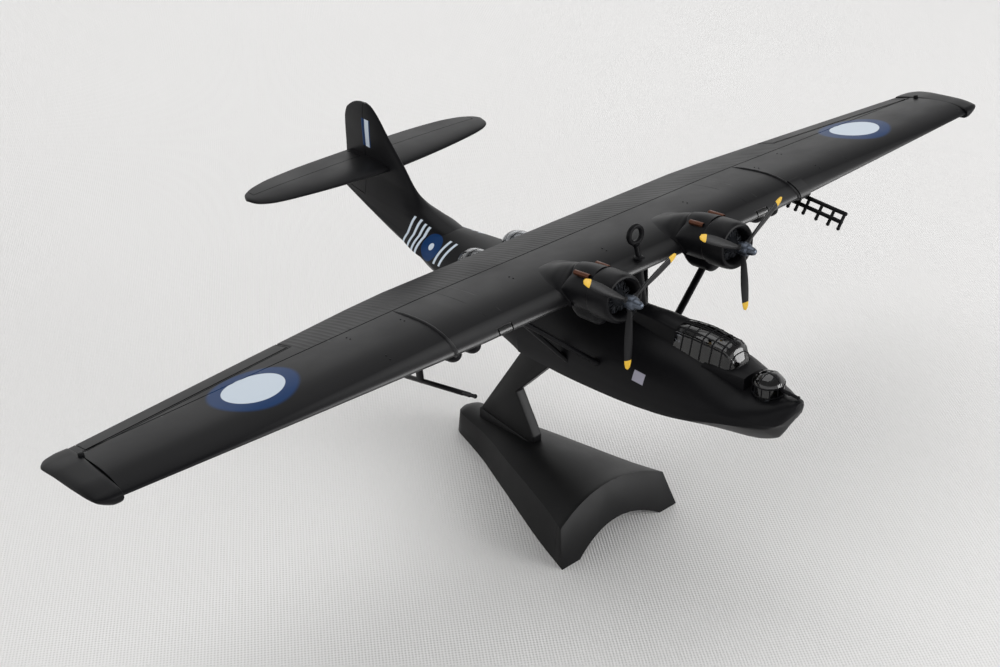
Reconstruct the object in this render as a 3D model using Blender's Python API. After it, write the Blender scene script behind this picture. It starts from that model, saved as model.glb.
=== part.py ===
"""Desk-stand display model of a twin-engined parasol-wing patrol flying boat, about 1:150.

All sizes are in millimetres and are multiplied by MM where a mesh is made.
World frame: nose towards -Y, port wing towards +X, Z up, stand feet on z = 0.
Three empties carry the pieces: the hull datum, whose origin is the keel at the main step,
the wing datum, whose origin is the leading edge on the centre line, and the stand datum.
"""
import math

import bmesh
import bpy
from mathutils import Vector

MM = 0.001
GAP = 0.15
# Cutting blocks run past every piece: how far aft, how high, and how wide or thick.
FAR_CUT = (80.0, 40.0, 10.0)
ABOVE_WING = ((-60.0, -20.0, 0.15), (60.0, 50.0, 30.0))
DOME_STEPS = 20
WELD_REACH = 0.000001

# Where the two datums stand in the world, and how far each is pitched nose-up.
HULL_ORIGIN = (0.0, -6.0, 33.9)
HULL_PITCH = 4.0
WING_ORIGIN = (0.0, -27.5, 62.7)
WING_PITCH = 8.7
STAND_ORIGIN = (0.0, -0.45, 0.0)

# Hull sections, in the hull frame: distance aft of the step, keel height, chine height and
# half beam, height and half width of the widest place, deck height, fullness of the deck.
HULL_COLUMNS = ("y", "keel", "chine", "beam", "mid", "half", "deck", "power")
HULL_TABLE = [
    (-59.6, 14.2, 14.4, 0.5, 15.0, 0.9, 15.8, 2.2),
    (-59.0, 12.9, 13.3, 1.5, 14.4, 1.9, 16.1, 2.2),
    (-57.8, 10.7, 11.9, 2.7, 13.2, 2.8, 15.9, 2.2),
    (-55.5, 7.6, 10.8, 4.6, 12.0, 4.7, 15.2, 2.2),
    (-50.5, 5.2, 9.9, 7.4, 10.9, 7.5, 14.8, 2.2),
    (-46.5, 4.2, 9.0, 8.6, 10.3, 8.7, 16.0, 2.2),
    (-42.5, 3.5, 8.0, 9.2, 9.6, 9.4, 17.2, 2.2),
    (-36.0, 2.8, 7.0, 9.6, 9.1, 9.8, 17.7, 2.1),
    (-25.0, 1.8, 5.8, 10.0, 8.5, 10.2, 17.8, 2.1),
    (-10.0, 0.7, 4.8, 10.2, 8.2, 10.35, 17.8, 2.1),
    (0.0, 0.0, 4.6, 10.2, 8.0, 10.3, 17.6, 2.1),
    (0.1, 0.9, 5.4, 10.1, 8.2, 10.3, 17.6, 2.1),
    (12.0, 1.6, 6.6, 9.4, 9.0, 9.9, 17.2, 2.1),
    (22.0, 2.4, 8.0, 8.2, 10.0, 8.8, 16.6, 2.1),
    (30.0, 3.2, 9.1, 6.4, 10.6, 7.4, 16.1, 2.1),
    (35.0, 3.8, 9.8, 5.2, 11.0, 6.6, 15.8, 2.1),
    (35.1, 6.4, 9.9, 4.8, 11.0, 6.6, 15.8, 2.1),
    (46.0, 9.0, 11.4, 3.4, 12.4, 4.5, 15.6, 2.1),
    (58.0, 11.8, 13.2, 1.9, 13.8, 2.5, 16.0, 2.0),
    (69.5, 14.2, 14.8, 0.5, 15.2, 0.8, 16.4, 2.0),
]
DECK_STEPS = 6

# Flat-sided raised deck between cockpit and turret, and the fairing behind the cockpit, in
# the hull frame: y, half width at the foot, half width at the top, height at the top.
DECK_FOOT = 12.5
RAISED_DECK = [
    (-41.5, 4.2, 4.1, 17.3),
    (-44.5, 3.8, 3.7, 17.6),
    (-49.6, 2.5, 2.4, 17.2),
]
COCKPIT_FAIRING = [
    (-35.0, 4.1, 2.6, 20.7),
    (-32.0, 3.8, 2.4, 20.0),
    (-28.5, 3.4, 1.9, 18.9),
    (-24.0, 2.6, 1.0, 17.6),
]
CANOPY_TABLE = [
    (-47.1, 2.0, 0.9, 17.6),
    (-46.4, 3.1, 1.6, 18.5),
    (-45.2, 3.7, 2.2, 19.9),
    (-43.9, 4.0, 2.5, 20.8),
    (-39.5, 4.2, 2.7, 21.1),
    (-35.2, 4.1, 2.6, 20.7),
]
CANOPY_FOOT = 14.0
CANOPY_END = ((-8.0, -35.35, 10.0), (8.0, -30.0, 25.0))
# How round the tops of these are: height of the crown, and its place across the half width.
DECK_CROWN = 0.3
FAIRING_CROWN = 0.6
CANOPY_CROWN = 0.7
CROWN_PLACE = 0.6

# Bow turret, a short glazed drum under a dome: radius and height above the drum's foot.
TURRET_PLACE = (0.0, -52.9, 13.2)
TURRET_PROFILE = [(2.7, 0.0), (2.7, 3.9), (2.45, 4.6), (1.9, 5.3), (1.1, 5.8)]
TURRET_TOP = 5.95
TURRET_CAP = 0.3
GUN_ENDS = [(0.0, -55.2, 16.7), (0.0, -59.5, 16.7)]
GUN_RADIUS = 0.28
BLISTER_PLACE = (5.6, 18.4, 14.5)
BLISTER_RADII = (3.6, 4.9, 4.1)

# Fin sections, in the hull frame: height, leading edge, trailing edge, half thickness.
FIN_TABLE = [
    (14.6, 24.0, 69.3, 2.2),
    (15.8, 28.5, 69.3, 2.1),
    (16.7, 33.0, 69.25, 1.8),
    (18.2, 39.4, 69.15, 1.5),
    (20.7, 43.9, 69.0, 1.3),
    (24.9, 47.6, 68.7, 1.15),
    (30.8, 53.2, 68.3, 0.95),
    (33.4, 55.3, 67.6, 0.8),
    (35.2, 57.2, 65.6, 0.6),
    (36.1, 59.2, 62.6, 0.3),
]
RUDDER_HINGE = 60.4
RUDDER_FOOT = 15.6

# Tailplane: half span, height over the hull datum, and its plan as x, leading, trailing edge.
TAIL_HEIGHT = 23.6
TAIL_PLAN = [
    (0.0, 51.2, 66.9),
    (12.0, 52.3, 66.7),
    (22.0, 53.8, 65.8),
    (27.0, 55.0, 64.4),
    (29.6, 56.5, 62.8),
    (30.9, 58.6, 60.8),
]
TAIL_THICKNESS = 0.11
ELEVATOR_HINGE = (61.0, 60.6)
ELEVATOR_SPAN = (1.9, 29.0)

# Wing plan in the wing frame: x, leading edge, trailing edge, thickness over chord.
WING_PLAN = [
    (0.0, 0.0, 29.3, 0.155),
    (36.0, 0.0, 29.2, 0.155),
    (44.5, 0.3, 28.5, 0.15),
    (66.0, 1.3, 25.8, 0.14),
    (99.9, 3.0, 21.4, 0.12),
]
WING_CAMBER = 0.03
CAMBER_PLACE = 0.3
TRAILING_EDGE = 0.5
SECTION_STEPS = 9
WING_JOINT = 42.0
WING_SEAT_REACH = 47.5
AILERON_SPAN = (60.2, 98.6)
AILERON_HINGE = (22.0, 16.6)

# Retracted float at each wing tip: y, outer reach, top and bottom height. The shape gives
# each corner of a section as a share of the reach and of the height from bottom to top.
FLOAT_ROOT = 100.05
FLOAT_SHAPE = [(0.0, 0.0), (0.55, 0.0), (0.9, 0.3), (1.0, 0.55), (0.85, 1.0), (0.0, 1.0)]
FLOAT_TABLE = [
    (1.8, 0.8, 0.4, -1.0),
    (3.4, 3.2, 0.9, -1.7),
    (8.0, 5.4, 1.4, -2.2),
    (14.0, 5.6, 1.3, -2.2),
    (18.6, 5.0, 0.8, -1.8),
    (21.0, 2.6, 0.2, -0.9),
]

# Landing lamp let into each leading edge: span, and how far back it reaches.
LAMP_SPAN = (30.1, 33.1)
LAMP_DEPTH = 1.5

# Engine housings and propellers, in the wing frame. Heights in the tables are from the
# thrust line. Body: y, half width, rise to the top, drop to the bottom. Ridge on top and
# chin below: y, half width, foot and crown.
ENGINE_X = 13.84
THRUST_Z = 2.07
COWL_FRONT = -9.7
COWL_REAR = -4.9
COWL_RADIUS = 4.4
COWL_PROFILE = [
    (3.45, -9.35), (3.9, -9.7), (4.2, -9.1), (4.4, -7.9), (4.4, -4.9), (3.85, -4.9), (3.85, -8.5),
]
BODY_TABLE = [
    (-5.2, 4.15, 4.15, 4.15),
    (-1.0, 4.15, 3.6, 4.15),
    (3.0, 4.0, 2.3, 4.1),
    (7.0, 3.5, 0.9, 3.9),
    (12.0, 2.6, 0.3, 3.5),
    (16.5, 1.2, 0.0, 3.0),
]
BODY_STEPS = 24
RIDGE_TABLE = [
    (-5.05, 1.9, 2.0, 4.33),
    (-2.7, 1.9, 1.8, 4.3),
    (0.8, 1.8, 1.2, 4.05),
    (4.5, 1.6, 0.6, 3.2),
    (7.4, 1.2, 0.2, 2.1),
    (9.6, 0.5, 0.0, 1.05),
]
CHIN_TABLE = [
    (-4.6, 1.5, 3.6, 5.2),
    (-3.4, 1.9, 3.6, 6.3),
    (1.8, 1.9, 3.4, 6.3),
    (3.6, 1.5, 3.0, 5.4),
]
ARCH_STEPS = 6
ARCH_SPRING = 0.35
CYLINDERS = 9
CRANKCASE_STEPS = 20
CYLINDER_RADIUS = 0.55
CYLINDER_FOOT = 1.62
CYLINDER_TIP = 3.25
CYLINDER_PLACE = -6.5
CRANKCASE = [(0.0, -9.8), (0.8, -9.8), (1.35, -8.6), (1.9, -7.6), (1.9, -5.4), (0.0, -5.4)]
# Exhaust stubs: name, distance outboard of the thrust line, height above it, front, rear.
EXHAUST_TABLE = [
    ("outer", 2.5, 3.55, -4.3, -0.5),
    ("inner", -2.3, 3.6, -3.8, -0.6),
]
EXHAUST_RADIUS = 0.55
PROPELLER_PHASE = {"starboard": -7.2, "port": 1.2}
BLADE_PLANE = -10.9
BLADES = 3
BLADE_POINTS = 8
# Hub and dome: radius, y. Blade: radius, half chord, half thickness, twist in degrees.
HUB_PROFILE = [
    (0.0, -13.9), (0.55, -13.65), (0.8, -12.7), (0.85, -12.4), (1.15, -12.1), (1.15, -10.1),
    (0.0, -10.1),
]
BLADE_TABLE = [
    (0.4, 0.45, 0.40, 50.0),
    (1.9, 0.50, 0.40, 45.0),
    (4.2, 0.95, 0.30, 34.0),
    (7.5, 1.10, 0.24, 26.0),
    (10.6, 0.95, 0.20, 20.0),
    (11.8, 0.60, 0.16, 18.0),
    (12.2, 0.20, 0.12, 18.0),
]

# Pylon sections in the hull frame: height, leading edge, trailing edge, half thickness.
PYLON_TABLE = [
    (13.0, -26.0, 8.0, 2.6),
    (18.5, -24.5, 6.0, 2.1),
    (30.0, -22.0, 4.5, 1.9),
]
# Wing struts in the wing frame: name, foot and top on the port side.
STRUT_TABLE = [
    ("front", (8.6, 3.4, -16.8), (28.2, 4.4, 0.9)),
    ("rear", (8.6, 10.0, -20.0), (28.0, 13.8, 0.7)),
]
STRUT_HALF = (0.5, 0.8)
STRUT_PAD = (0.75, 1.5, 2.0)
STRUT_PAD_SHIFT = (1.5, 0.0, 1.3)
STRUT_POINTS = 10
# Direction-finding loop on the leading edge: ring radii, half width, place, stem.
LOOP_RING = (1.3, 2.0)
LOOP_HALF = 0.35
LOOP_PLACE = (0.0, 1.6, 6.2)
LOOP_STEM = [(0.0, 0.9, 0.5), (0.0, 1.5, 4.5)]

# Depth bombs under each wing root: distance outboard, height, and (radius, y) outline.
BOMB_PLACES = (35.2, 39.3)
BOMB_HEIGHT = -2.65
BOMB_STEPS = 16
BOMB_PROFILE = [
    (0.0, 3.5), (0.85, 3.8), (1.35, 4.5), (1.55, 5.5), (1.55, 10.0), (1.05, 12.4), (0.4, 14.0),
    (0.0, 14.0),
]
# Ladder aerials in the wing frame: rear and front of the upper boom as (y, z), and the way
# the rungs point, inboard and down.
LADDER_X = 45.3
LADDER_TABLE = {
    "port": ((5.0, -0.4), (-8.6, -2.2), (-0.656, -0.755)),
    "starboard": ((11.2, -6.3), (-5.4, -3.8), (-0.825, -0.566)),
}
LADDER_RUNGS = (0.07, 0.21, 0.35, 0.58, 0.79, 0.97)
RUNG_LENGTH = 3.4
BOOM_SPACING = 1.75
BOOM_RADIUS = 0.4
RUNG_RADIUS = 0.34
# Post of the starboard ladder and leading-edge saddle of the port one.
POST_LOW = (-45.65, 5.7, -6.0)
POST_HIGH = (-44.95, 7.7, 0.0)
SADDLE_SPAN = (42.2, 45.2)
SADDLE_GROW = 0.5
SADDLE_BOX = ((40.0, -5.0, -10.0), (50.0, 3.0, 10.0))

# The stand, in its own frame. Base sections: y at the foot and at the top, half width at the
# foot and at the top, edge height, rise of the arch.
STAND_STEPS = 8
STAND_TABLE = [
    (-25.3, -22.6, 15.8, 14.0, 7.5, 2.9),
    (-16.6, -16.6, 13.8, 11.9, 7.0, 2.6),
    (2.4, 2.4, 8.2, 6.9, 6.2, 1.7),
    (12.4, 12.4, 5.3, 4.3, 5.7, 1.1),
    (22.0, 22.0, 2.9, 2.6, 5.3, 0.5),
    (23.6, 23.2, 1.8, 1.5, 5.0, 0.3),
]
# The open underside of the base: y, half width, height. It starts below the floor.
TUNNEL_FLOOR = -2.0
TUNNEL_TABLE = [
    (-27.0, 11.4, 3.5),
    (-10.0, 8.2, 3.0),
    (10.0, 3.4, 2.4),
    (18.0, 1.6, 1.6),
]
ARM_HALF = 1.2
ARM_PROFILE = [
    (-0.8, 5.0),
    (-0.8, 10.3),
    (5.4, 18.9),
    (2.9, 21.7),
    (-4.3, 30.3),
    (-4.3, 38.0),
    (3.6, 38.0),
    (3.6, 30.0),
    (15.8, 9.2),
    (15.8, 5.0),
]
FLANGE_BOX = ((-1.9, -2.2, 5.0), (1.9, 17.2, 9.0))

COLOURS = {
    "black_enamel": ((0.012, 0.012, 0.014), 0.45, 0.0),
    "stand_plastic": ((0.014, 0.014, 0.015), 0.38, 0.0),
    "clear_plastic": ((0.12, 0.12, 0.13), 0.08, 0.0),
    "copper_paint": ((0.35, 0.12, 0.05), 0.4, 0.6),
    "gun_metal": ((0.05, 0.055, 0.06), 0.4, 0.7),
    "propeller_black": ((0.015, 0.015, 0.016), 0.4, 0.0),
}

SIDES = {"starboard": -1.0, "port": 1.0}


def clear_scene():
    """Remove every object and leave one collection for the model and one for its cutters."""
    for old in list(bpy.data.objects):
        bpy.data.objects.remove(old, do_unlink=True)
    made = []
    for name in ("flying_boat_model", "cutters"):
        group = bpy.data.collections.new(name)
        bpy.context.scene.collection.children.link(group)
        made.append(group)
    return made


MODEL, CUTTERS = clear_scene()
MATERIALS = {}


def material(name):
    """A Principled material with the finish's colour, roughness and metallic value."""
    if name not in MATERIALS:
        colour, rough, metal = COLOURS[name]
        made = bpy.data.materials.new(name)
        made.use_nodes = True
        shader = made.node_tree.nodes["Principled BSDF"]
        shader.inputs["Base Color"].default_value = (*colour, 1.0)
        shader.inputs["Roughness"].default_value = rough
        shader.inputs["Metallic"].default_value = metal
        MATERIALS[name] = made
    return MATERIALS[name]


def empty(name, place, pitch=0.0, parent=None):
    """A tilted frame that pieces are placed in; pitch is nose-up."""
    frame = bpy.data.objects.new(name, None)
    frame.empty_display_size = 5.0 * MM
    frame.location = Vector(place) * MM
    frame.rotation_euler = (math.radians(-pitch), 0.0, 0.0)
    frame.parent = parent
    MODEL.objects.link(frame)
    return frame


HULL = empty("hull_datum", HULL_ORIGIN, HULL_PITCH)
WING = empty("wing_datum", WING_ORIGIN, WING_PITCH)
STAND = empty("stand_datum", STAND_ORIGIN)


def add_object(name, mesh, finish, parent=None, smooth=35.0):
    """Put a mesh in the model under its frame, or among the cutters when it has no finish."""
    piece = bpy.data.objects.new(name, mesh)
    piece.parent = parent
    if finish is None:
        CUTTERS.objects.link(piece)
        piece.hide_render = True
        piece.display_type = "WIRE"
    else:
        MODEL.objects.link(piece)
        mesh.materials.append(material(finish))
        mesh.shade_smooth()
        mesh.set_sharp_from_angle(angle=math.radians(smooth))
    return piece


def from_bmesh(name, shape, finish, parent=None):
    """Turn a bmesh into an object, with its faces pointing out."""
    bmesh.ops.recalc_face_normals(shape, faces=shape.faces)
    mesh = bpy.data.meshes.new(name)
    shape.to_mesh(mesh)
    shape.free()
    return add_object(name, mesh, finish, parent)


def loft(name, rings, finish, parent=None):
    """A closed body through rings with equal numbers of points, capped at both ends."""
    shape = bmesh.new()
    loops = [[shape.verts.new(Vector(point) * MM) for point in ring] for ring in rings]
    count = len(rings[0])
    for here, there in zip(loops, loops[1:]):
        for i in range(count):
            j = (i + 1) % count
            shape.faces.new((here[i], here[j], there[j], there[i]))
    shape.faces.new(loops[0])
    shape.faces.new(list(reversed(loops[-1])))
    return from_bmesh(name, shape, finish, parent)


def box(name, low, high, finish, parent=None):
    """A rectangular block between two corners."""
    shape = bmesh.new()
    size = [b - a for a, b in zip(low, high)]
    middle = [(a + b) / 2.0 for a, b in zip(low, high)]
    bmesh.ops.create_cube(shape, size=1.0)
    bmesh.ops.scale(shape, vec=Vector(size) * MM, verts=shape.verts)
    bmesh.ops.translate(shape, vec=Vector(middle) * MM, verts=shape.verts)
    return from_bmesh(name, shape, finish, parent)


def prism(name, outline, low, high, axis, finish, parent=None):
    """A flat outline carried from low to high along x or z."""
    if axis == "x":
        rings = [[(level, a, b) for a, b in outline] for level in (low, high)]
    else:
        rings = [[(a, b, level) for a, b in outline] for level in (low, high)]
    return loft(name, rings, finish, parent)


def turned(name, profile, finish, parent=None, place=(0.0, 0.0, 0.0), steps=24):
    """A body turned about the y axis from (radius, y) points, first and last on the axis."""
    shape = bmesh.new()
    rings = []
    for radius, y in profile:
        if radius < 1e-6:
            rings.append([shape.verts.new(Vector((place[0], place[1] + y, place[2])) * MM)])
            continue
        ring = []
        for i in range(steps):
            a = 2.0 * math.pi * i / steps
            x = place[0] + radius * math.sin(a)
            z = place[2] + radius * math.cos(a)
            ring.append(shape.verts.new(Vector((x, place[1] + y, z)) * MM))
        rings.append(ring)
    closed = len(rings[0]) > 1
    pairs = list(zip(rings, rings[1:]))
    if closed:
        pairs.append((rings[-1], rings[0]))
    for here, there in pairs:
        for i in range(steps):
            j = (i + 1) % steps
            if len(here) == 1:
                shape.faces.new((here[0], there[j], there[i]))
            elif len(there) == 1:
                shape.faces.new((here[i], here[j], there[0]))
            else:
                shape.faces.new((here[i], here[j], there[j], there[i]))
    return from_bmesh(name, shape, finish, parent)


def ellipsoid(name, place, radii, finish, parent=None):
    """A round body with its three radii along the frame's axes."""
    shape = bmesh.new()
    bmesh.ops.create_uvsphere(shape, u_segments=20, v_segments=12, radius=1.0)
    bmesh.ops.scale(shape, vec=Vector(radii) * MM, verts=shape.verts)
    bmesh.ops.translate(shape, vec=Vector(place) * MM, verts=shape.verts)
    return from_bmesh(name, shape, finish, parent)


def rod(name, points, radius, finish, parent=None):
    """A round rod along straight runs, made a closed mesh with welded caps."""
    curve = bpy.data.curves.new(name, "CURVE")
    curve.dimensions = "3D"
    curve.bevel_depth = radius * MM
    curve.bevel_resolution = 2
    curve.use_fill_caps = True
    spline = curve.splines.new("POLY")
    spline.points.add(len(points) - 1)
    for target, point in zip(spline.points, points):
        target.co = (*(Vector(point) * MM), 1.0)
    source = bpy.data.objects.new(name + "_curve", curve)
    MODEL.objects.link(source)
    evaluated = source.evaluated_get(bpy.context.evaluated_depsgraph_get())
    mesh = bpy.data.meshes.new_from_object(evaluated)
    bpy.data.objects.remove(source, do_unlink=True)
    bpy.data.curves.remove(curve)
    shape = bmesh.new()
    shape.from_mesh(mesh)
    bpy.data.meshes.remove(mesh)
    bmesh.ops.remove_doubles(shape, verts=shape.verts, dist=1e-6)
    return from_bmesh(name, shape, finish, parent)


def boolean(piece, other, operation):
    """Cut a piece with another solid, join it to it, or keep what they share."""
    step = piece.modifiers.new(operation.lower() + "_" + other.name, "BOOLEAN")
    step.operation = operation
    step.solver = "EXACT"
    step.object = other


def cut(piece, *others):
    """Take other solids away from a piece."""
    for other in others:
        boolean(piece, other, "DIFFERENCE")


def join(piece, *others):
    """Join solids that stay hidden to a piece."""
    for other in others:
        boolean(piece, other, "UNION")


def weld(piece):
    """Close the hairline gaps that many cuts and joins leave between equal points."""
    step = piece.modifiers.new("weld", "WELD")
    step.merge_threshold = WELD_REACH


def hull_ring(row, grow=0.0):
    """One hull section: a vee bottom to the chine, a side, and an arched deck."""
    s = dict(zip(HULL_COLUMNS, row))
    keel = s["keel"] - grow
    beam = s["beam"] + grow
    half = s["half"] + grow
    rise = s["deck"] + grow - s["mid"]
    right = [
        (0.5 * beam, keel + 0.42 * (s["chine"] - keel)),
        (beam, s["chine"]),
        (0.45 * beam + 0.55 * half + 0.1, 0.5 * (s["chine"] + s["mid"])),
    ]
    for i in range(DECK_STEPS):
        a = 0.5 * math.pi * i / DECK_STEPS
        x = half * math.cos(a) ** (2.0 / s["power"])
        z = s["mid"] + rise * math.sin(a) ** (2.0 / s["power"])
        right.append((x, z))
    top = [(0.0, s["mid"] + rise)]
    left = [(-x, z) for x, z in reversed(right)]
    section = [(0.0, keel)] + right + top + left
    return [(x, s["y"], z) for x, z in section]


def hull_body(name, finish, grow=0.0):
    """The whole hull, or a slightly larger one that seats its neighbours."""
    rows = [list(row) for row in HULL_TABLE]
    rows[0][0] -= grow
    rows[-1][0] += grow
    return loft(name, [hull_ring(row, grow) for row in rows], finish, HULL)


def plan_at(plan, x):
    """Read a plan table at one station by straight lines between its rows."""
    for a, b in zip(plan, plan[1:]):
        if x <= b[0]:
            t = (x - a[0]) / (b[0] - a[0])
            return [p + t * (q - p) for p, q in zip(a[1:], b[1:])]
    return list(plan[-1][1:])


def aerofoil(lead, trail, ratio, camber=WING_CAMBER, grow=0.0):
    """Upper and lower heights over the chord, from the usual four-digit section formula."""
    chord = trail - lead
    upper, lower = [], []
    for i in range(SECTION_STEPS + 1):
        c = 0.5 - 0.5 * math.cos(math.pi * i / SECTION_STEPS)
        shape = 0.2969 * math.sqrt(c) - 0.126 * c - 0.3516 * c**2 + 0.2843 * c**3 - 0.1036 * c**4
        half = 5.0 * ratio * chord * shape + 0.5 * TRAILING_EDGE * c + grow
        if c < CAMBER_PLACE:
            mean = camber * chord * (2.0 * CAMBER_PLACE * c - c * c) / CAMBER_PLACE**2
        else:
            rest = 1.0 - 2.0 * CAMBER_PLACE + 2.0 * CAMBER_PLACE * c - c * c
            mean = camber * chord * rest / (1.0 - CAMBER_PLACE) ** 2
        y = lead + c * chord
        if i == 0:
            upper.append((y - grow, mean))
            continue
        upper.append((y + (grow if i == SECTION_STEPS else 0.0), mean + half))
        lower.append((y + (grow if i == SECTION_STEPS else 0.0), mean - half))
    return upper + list(reversed(lower))


def wing_ring(x, side, grow=0.0):
    """The wing section at a distance from the centre line."""
    lead, trail, ratio = plan_at(WING_PLAN, x)
    return [(side * x, y, z) for y, z in aerofoil(lead, trail, ratio, grow=grow)]


def wing_body(name, stations, side, finish, grow=0.0):
    """A stretch of wing through the given stations."""
    return loft(name, [wing_ring(x, side, grow) for x in stations], finish, WING)


def tail_rings(stations, grow=0.0):
    """Tailplane sections at the given stations of its plan."""
    rings = []
    for x, lead, trail in stations:
        section = aerofoil(lead, trail, TAIL_THICKNESS, camber=0.0, grow=grow)
        rings.append([(x, y, z + TAIL_HEIGHT) for y, z in section])
    return rings


def shoulder_rings(table, foot, crown):
    """Flat-sided sections: foot and top half widths, a top height, and a crowned top."""
    rings = []
    for y, low, high, top in table:
        across = [(low, foot), (high, top - 0.5 * crown), (CROWN_PLACE * high, top + 0.3 * crown)]
        section = across + [(0.0, top + 0.5 * crown)] + [(-x, z) for x, z in reversed(across)]
        rings.append([(x, y, z) for x, z in section])
    return rings


def make_hull_group():
    """Hull, fin with rudder, tailplane with elevators."""
    hull = hull_body("hull", "black_enamel")
    seat = hull_body("hull_seat", None, GAP)
    deck = loft("raised_deck", shoulder_rings(RAISED_DECK, DECK_FOOT, DECK_CROWN), None, HULL)
    fairing_rings = shoulder_rings(COCKPIT_FAIRING, CANOPY_FOOT, FAIRING_CROWN)
    join(hull, deck, loft("cockpit_fairing", fairing_rings, None, HULL))
    fin_rings = []
    for height, lead, trail, half in FIN_TABLE:
        ring = aerofoil(lead, trail, 1.0, camber=0.0)
        peak = max(z for y, z in ring)
        fin_rings.append([(z * half / peak, y, height) for y, z in ring])
    fin = loft("fin", fin_rings, "black_enamel", HULL)
    rudder = loft("rudder", fin_rings, "black_enamel", HULL)
    gap = 0.5 * GAP
    behind, above, wide = FAR_CUT
    hinge = [(RUDDER_HINGE - gap, RUDDER_FOOT - gap), (behind, RUDDER_FOOT - gap)]
    hinge += [(behind, above), (RUDDER_HINGE - gap, above)]
    slot = prism("rudder_slot", hinge, -wide, wide, "x", None, HULL)
    inner = [(RUDDER_HINGE + gap, RUDDER_FOOT + gap), (behind, RUDDER_FOOT + gap)]
    inner += [(behind, above), (RUDDER_HINGE + gap, above)]
    keep = prism("rudder_keep", inner, -wide, wide, "x", None, HULL)
    cut(fin, slot, seat)
    boolean(rudder, keep, "INTERSECT")
    stations = [(-x, a, b) for x, a, b in reversed(TAIL_PLAN[1:])] + TAIL_PLAN
    tail = loft("tailplane", tail_rings(stations), "black_enamel", HULL)
    tail_seat = loft("tail_seat", tail_rings(stations, GAP), None, HULL)
    cut(fin, tail_seat)
    weld(fin)
    cut(rudder, tail_seat, seat)
    level = (TAIL_HEIGHT - wide, TAIL_HEIGHT + wide)
    for side_name, side in SIDES.items():
        name = "elevator_" + side_name
        slot, keep = flap_cutters(name, side, ELEVATOR_SPAN, ELEVATOR_HINGE, level, HULL)
        elevator = loft(name, tail_rings(stations), "black_enamel", HULL)
        cut(tail, slot)
        boolean(elevator, keep, "INTERSECT")
    return seat


def flap_cutters(name, side, span, hinge, level, parent):
    """The slot that frees a control surface, and the slightly smaller block that keeps it."""
    gap = 0.5 * GAP
    behind = FAR_CUT[0]
    cutters = []
    for use, grow in (("_slot", gap), ("_keep", -gap)):
        near, far = side * (span[0] - grow), side * (span[1] + grow)
        outline = [(near, hinge[0] - grow), (far, hinge[1] - grow), (far, behind), (near, behind)]
        cutters.append(prism(name + use, outline, *level, "z", None, parent))
    return cutters


def make_wing_group():
    """Wing centre section with its lamps, outer wings, ailerons and tip floats."""
    gap = 0.5 * GAP
    inner = WING_PLAN[1][0]
    centre = [-WING_JOINT + gap, -inner, 0.0, inner, WING_JOINT - gap]
    rings = [wing_ring(abs(x), math.copysign(1.0, x)) for x in centre]
    wing = loft("wing_centre", rings, "black_enamel", WING)
    reach = [-WING_SEAT_REACH, -inner, 0.0, inner, WING_SEAT_REACH]
    seat_rings = [wing_ring(abs(x), math.copysign(1.0, x), GAP) for x in reach]
    seat = loft("wing_seat", seat_rings, None, WING)
    level = (-FAR_CUT[2], FAR_CUT[2])
    for side_name, side in SIDES.items():
        stations = [WING_JOINT + gap] + [row[0] for row in WING_PLAN[2:]]
        outer = wing_body("wing_outer_" + side_name, stations, side, "black_enamel")
        name = "aileron_" + side_name
        aileron = wing_body(name, stations, side, "black_enamel")
        slot, keep = flap_cutters(name, side, AILERON_SPAN, AILERON_HINGE, level, WING)
        cut(outer, slot)
        boolean(aileron, keep, "INTERSECT")
        make_lamp(side_name, side, wing)
        float_rings = []
        for y, reach, top, bottom in FLOAT_TABLE:
            corners = [(FLOAT_ROOT + a * reach, bottom + b * (top - bottom)) for a, b in FLOAT_SHAPE]
            float_rings.append([(side * x, y, z) for x, z in corners])
        loft("tip_float_" + side_name, float_rings, "black_enamel", WING)
    return seat


def make_lamp(side_name, side, wing):
    """Landing lamp: a clear stretch of the leading edge in a slot of the wing."""
    near, far = LAMP_SPAN
    gap = 0.5 * GAP
    deep = FAR_CUT[2]
    low = (min(side * near, side * far) - gap, -deep, -deep)
    high = (max(side * near, side * far) + gap, LAMP_DEPTH, deep)
    cut(wing, box("lamp_slot_" + side_name, low, high, None, WING))
    lens = wing_body("landing_lamp_" + side_name, [near + gap, far - gap], side, "clear_plastic")
    front = (high[0], LAMP_DEPTH - GAP, deep)
    boolean(lens, box("lamp_keep_" + side_name, low, front, None, WING), "INTERSECT")


def body_rings(x, grow=0.0):
    """Sections of the engine housing behind the cowl: its own rise, drop and half width."""
    rings = []
    for y, half, rise, drop in BODY_TABLE:
        ring = []
        for i in range(BODY_STEPS):
            a = 2.0 * math.pi * i / BODY_STEPS
            up = rise if math.cos(a) > 0.0 else drop
            ring.append((x + (half + grow) * math.sin(a), y, THRUST_Z + (up + grow) * math.cos(a)))
        rings.append(ring)
    return rings


def arch_rings(x, table, up, grow=0.0):
    """Sections of a rounded ridge that stands on the housing, or hangs below it."""
    rings = []
    for y, half, foot, crown in table:
        wide = half + grow
        ring = [(x - wide, y, THRUST_Z + up * foot), (x + wide, y, THRUST_Z + up * foot)]
        spring = foot + ARCH_SPRING * (crown - foot)
        for i in range(ARCH_STEPS + 1):
            a = math.pi * i / ARCH_STEPS
            rise = spring + (crown + grow - spring) * math.sin(a)
            ring.append((x + wide * math.cos(a), y, THRUST_Z + up * rise))
        rings.append(ring)
    return rings


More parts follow.
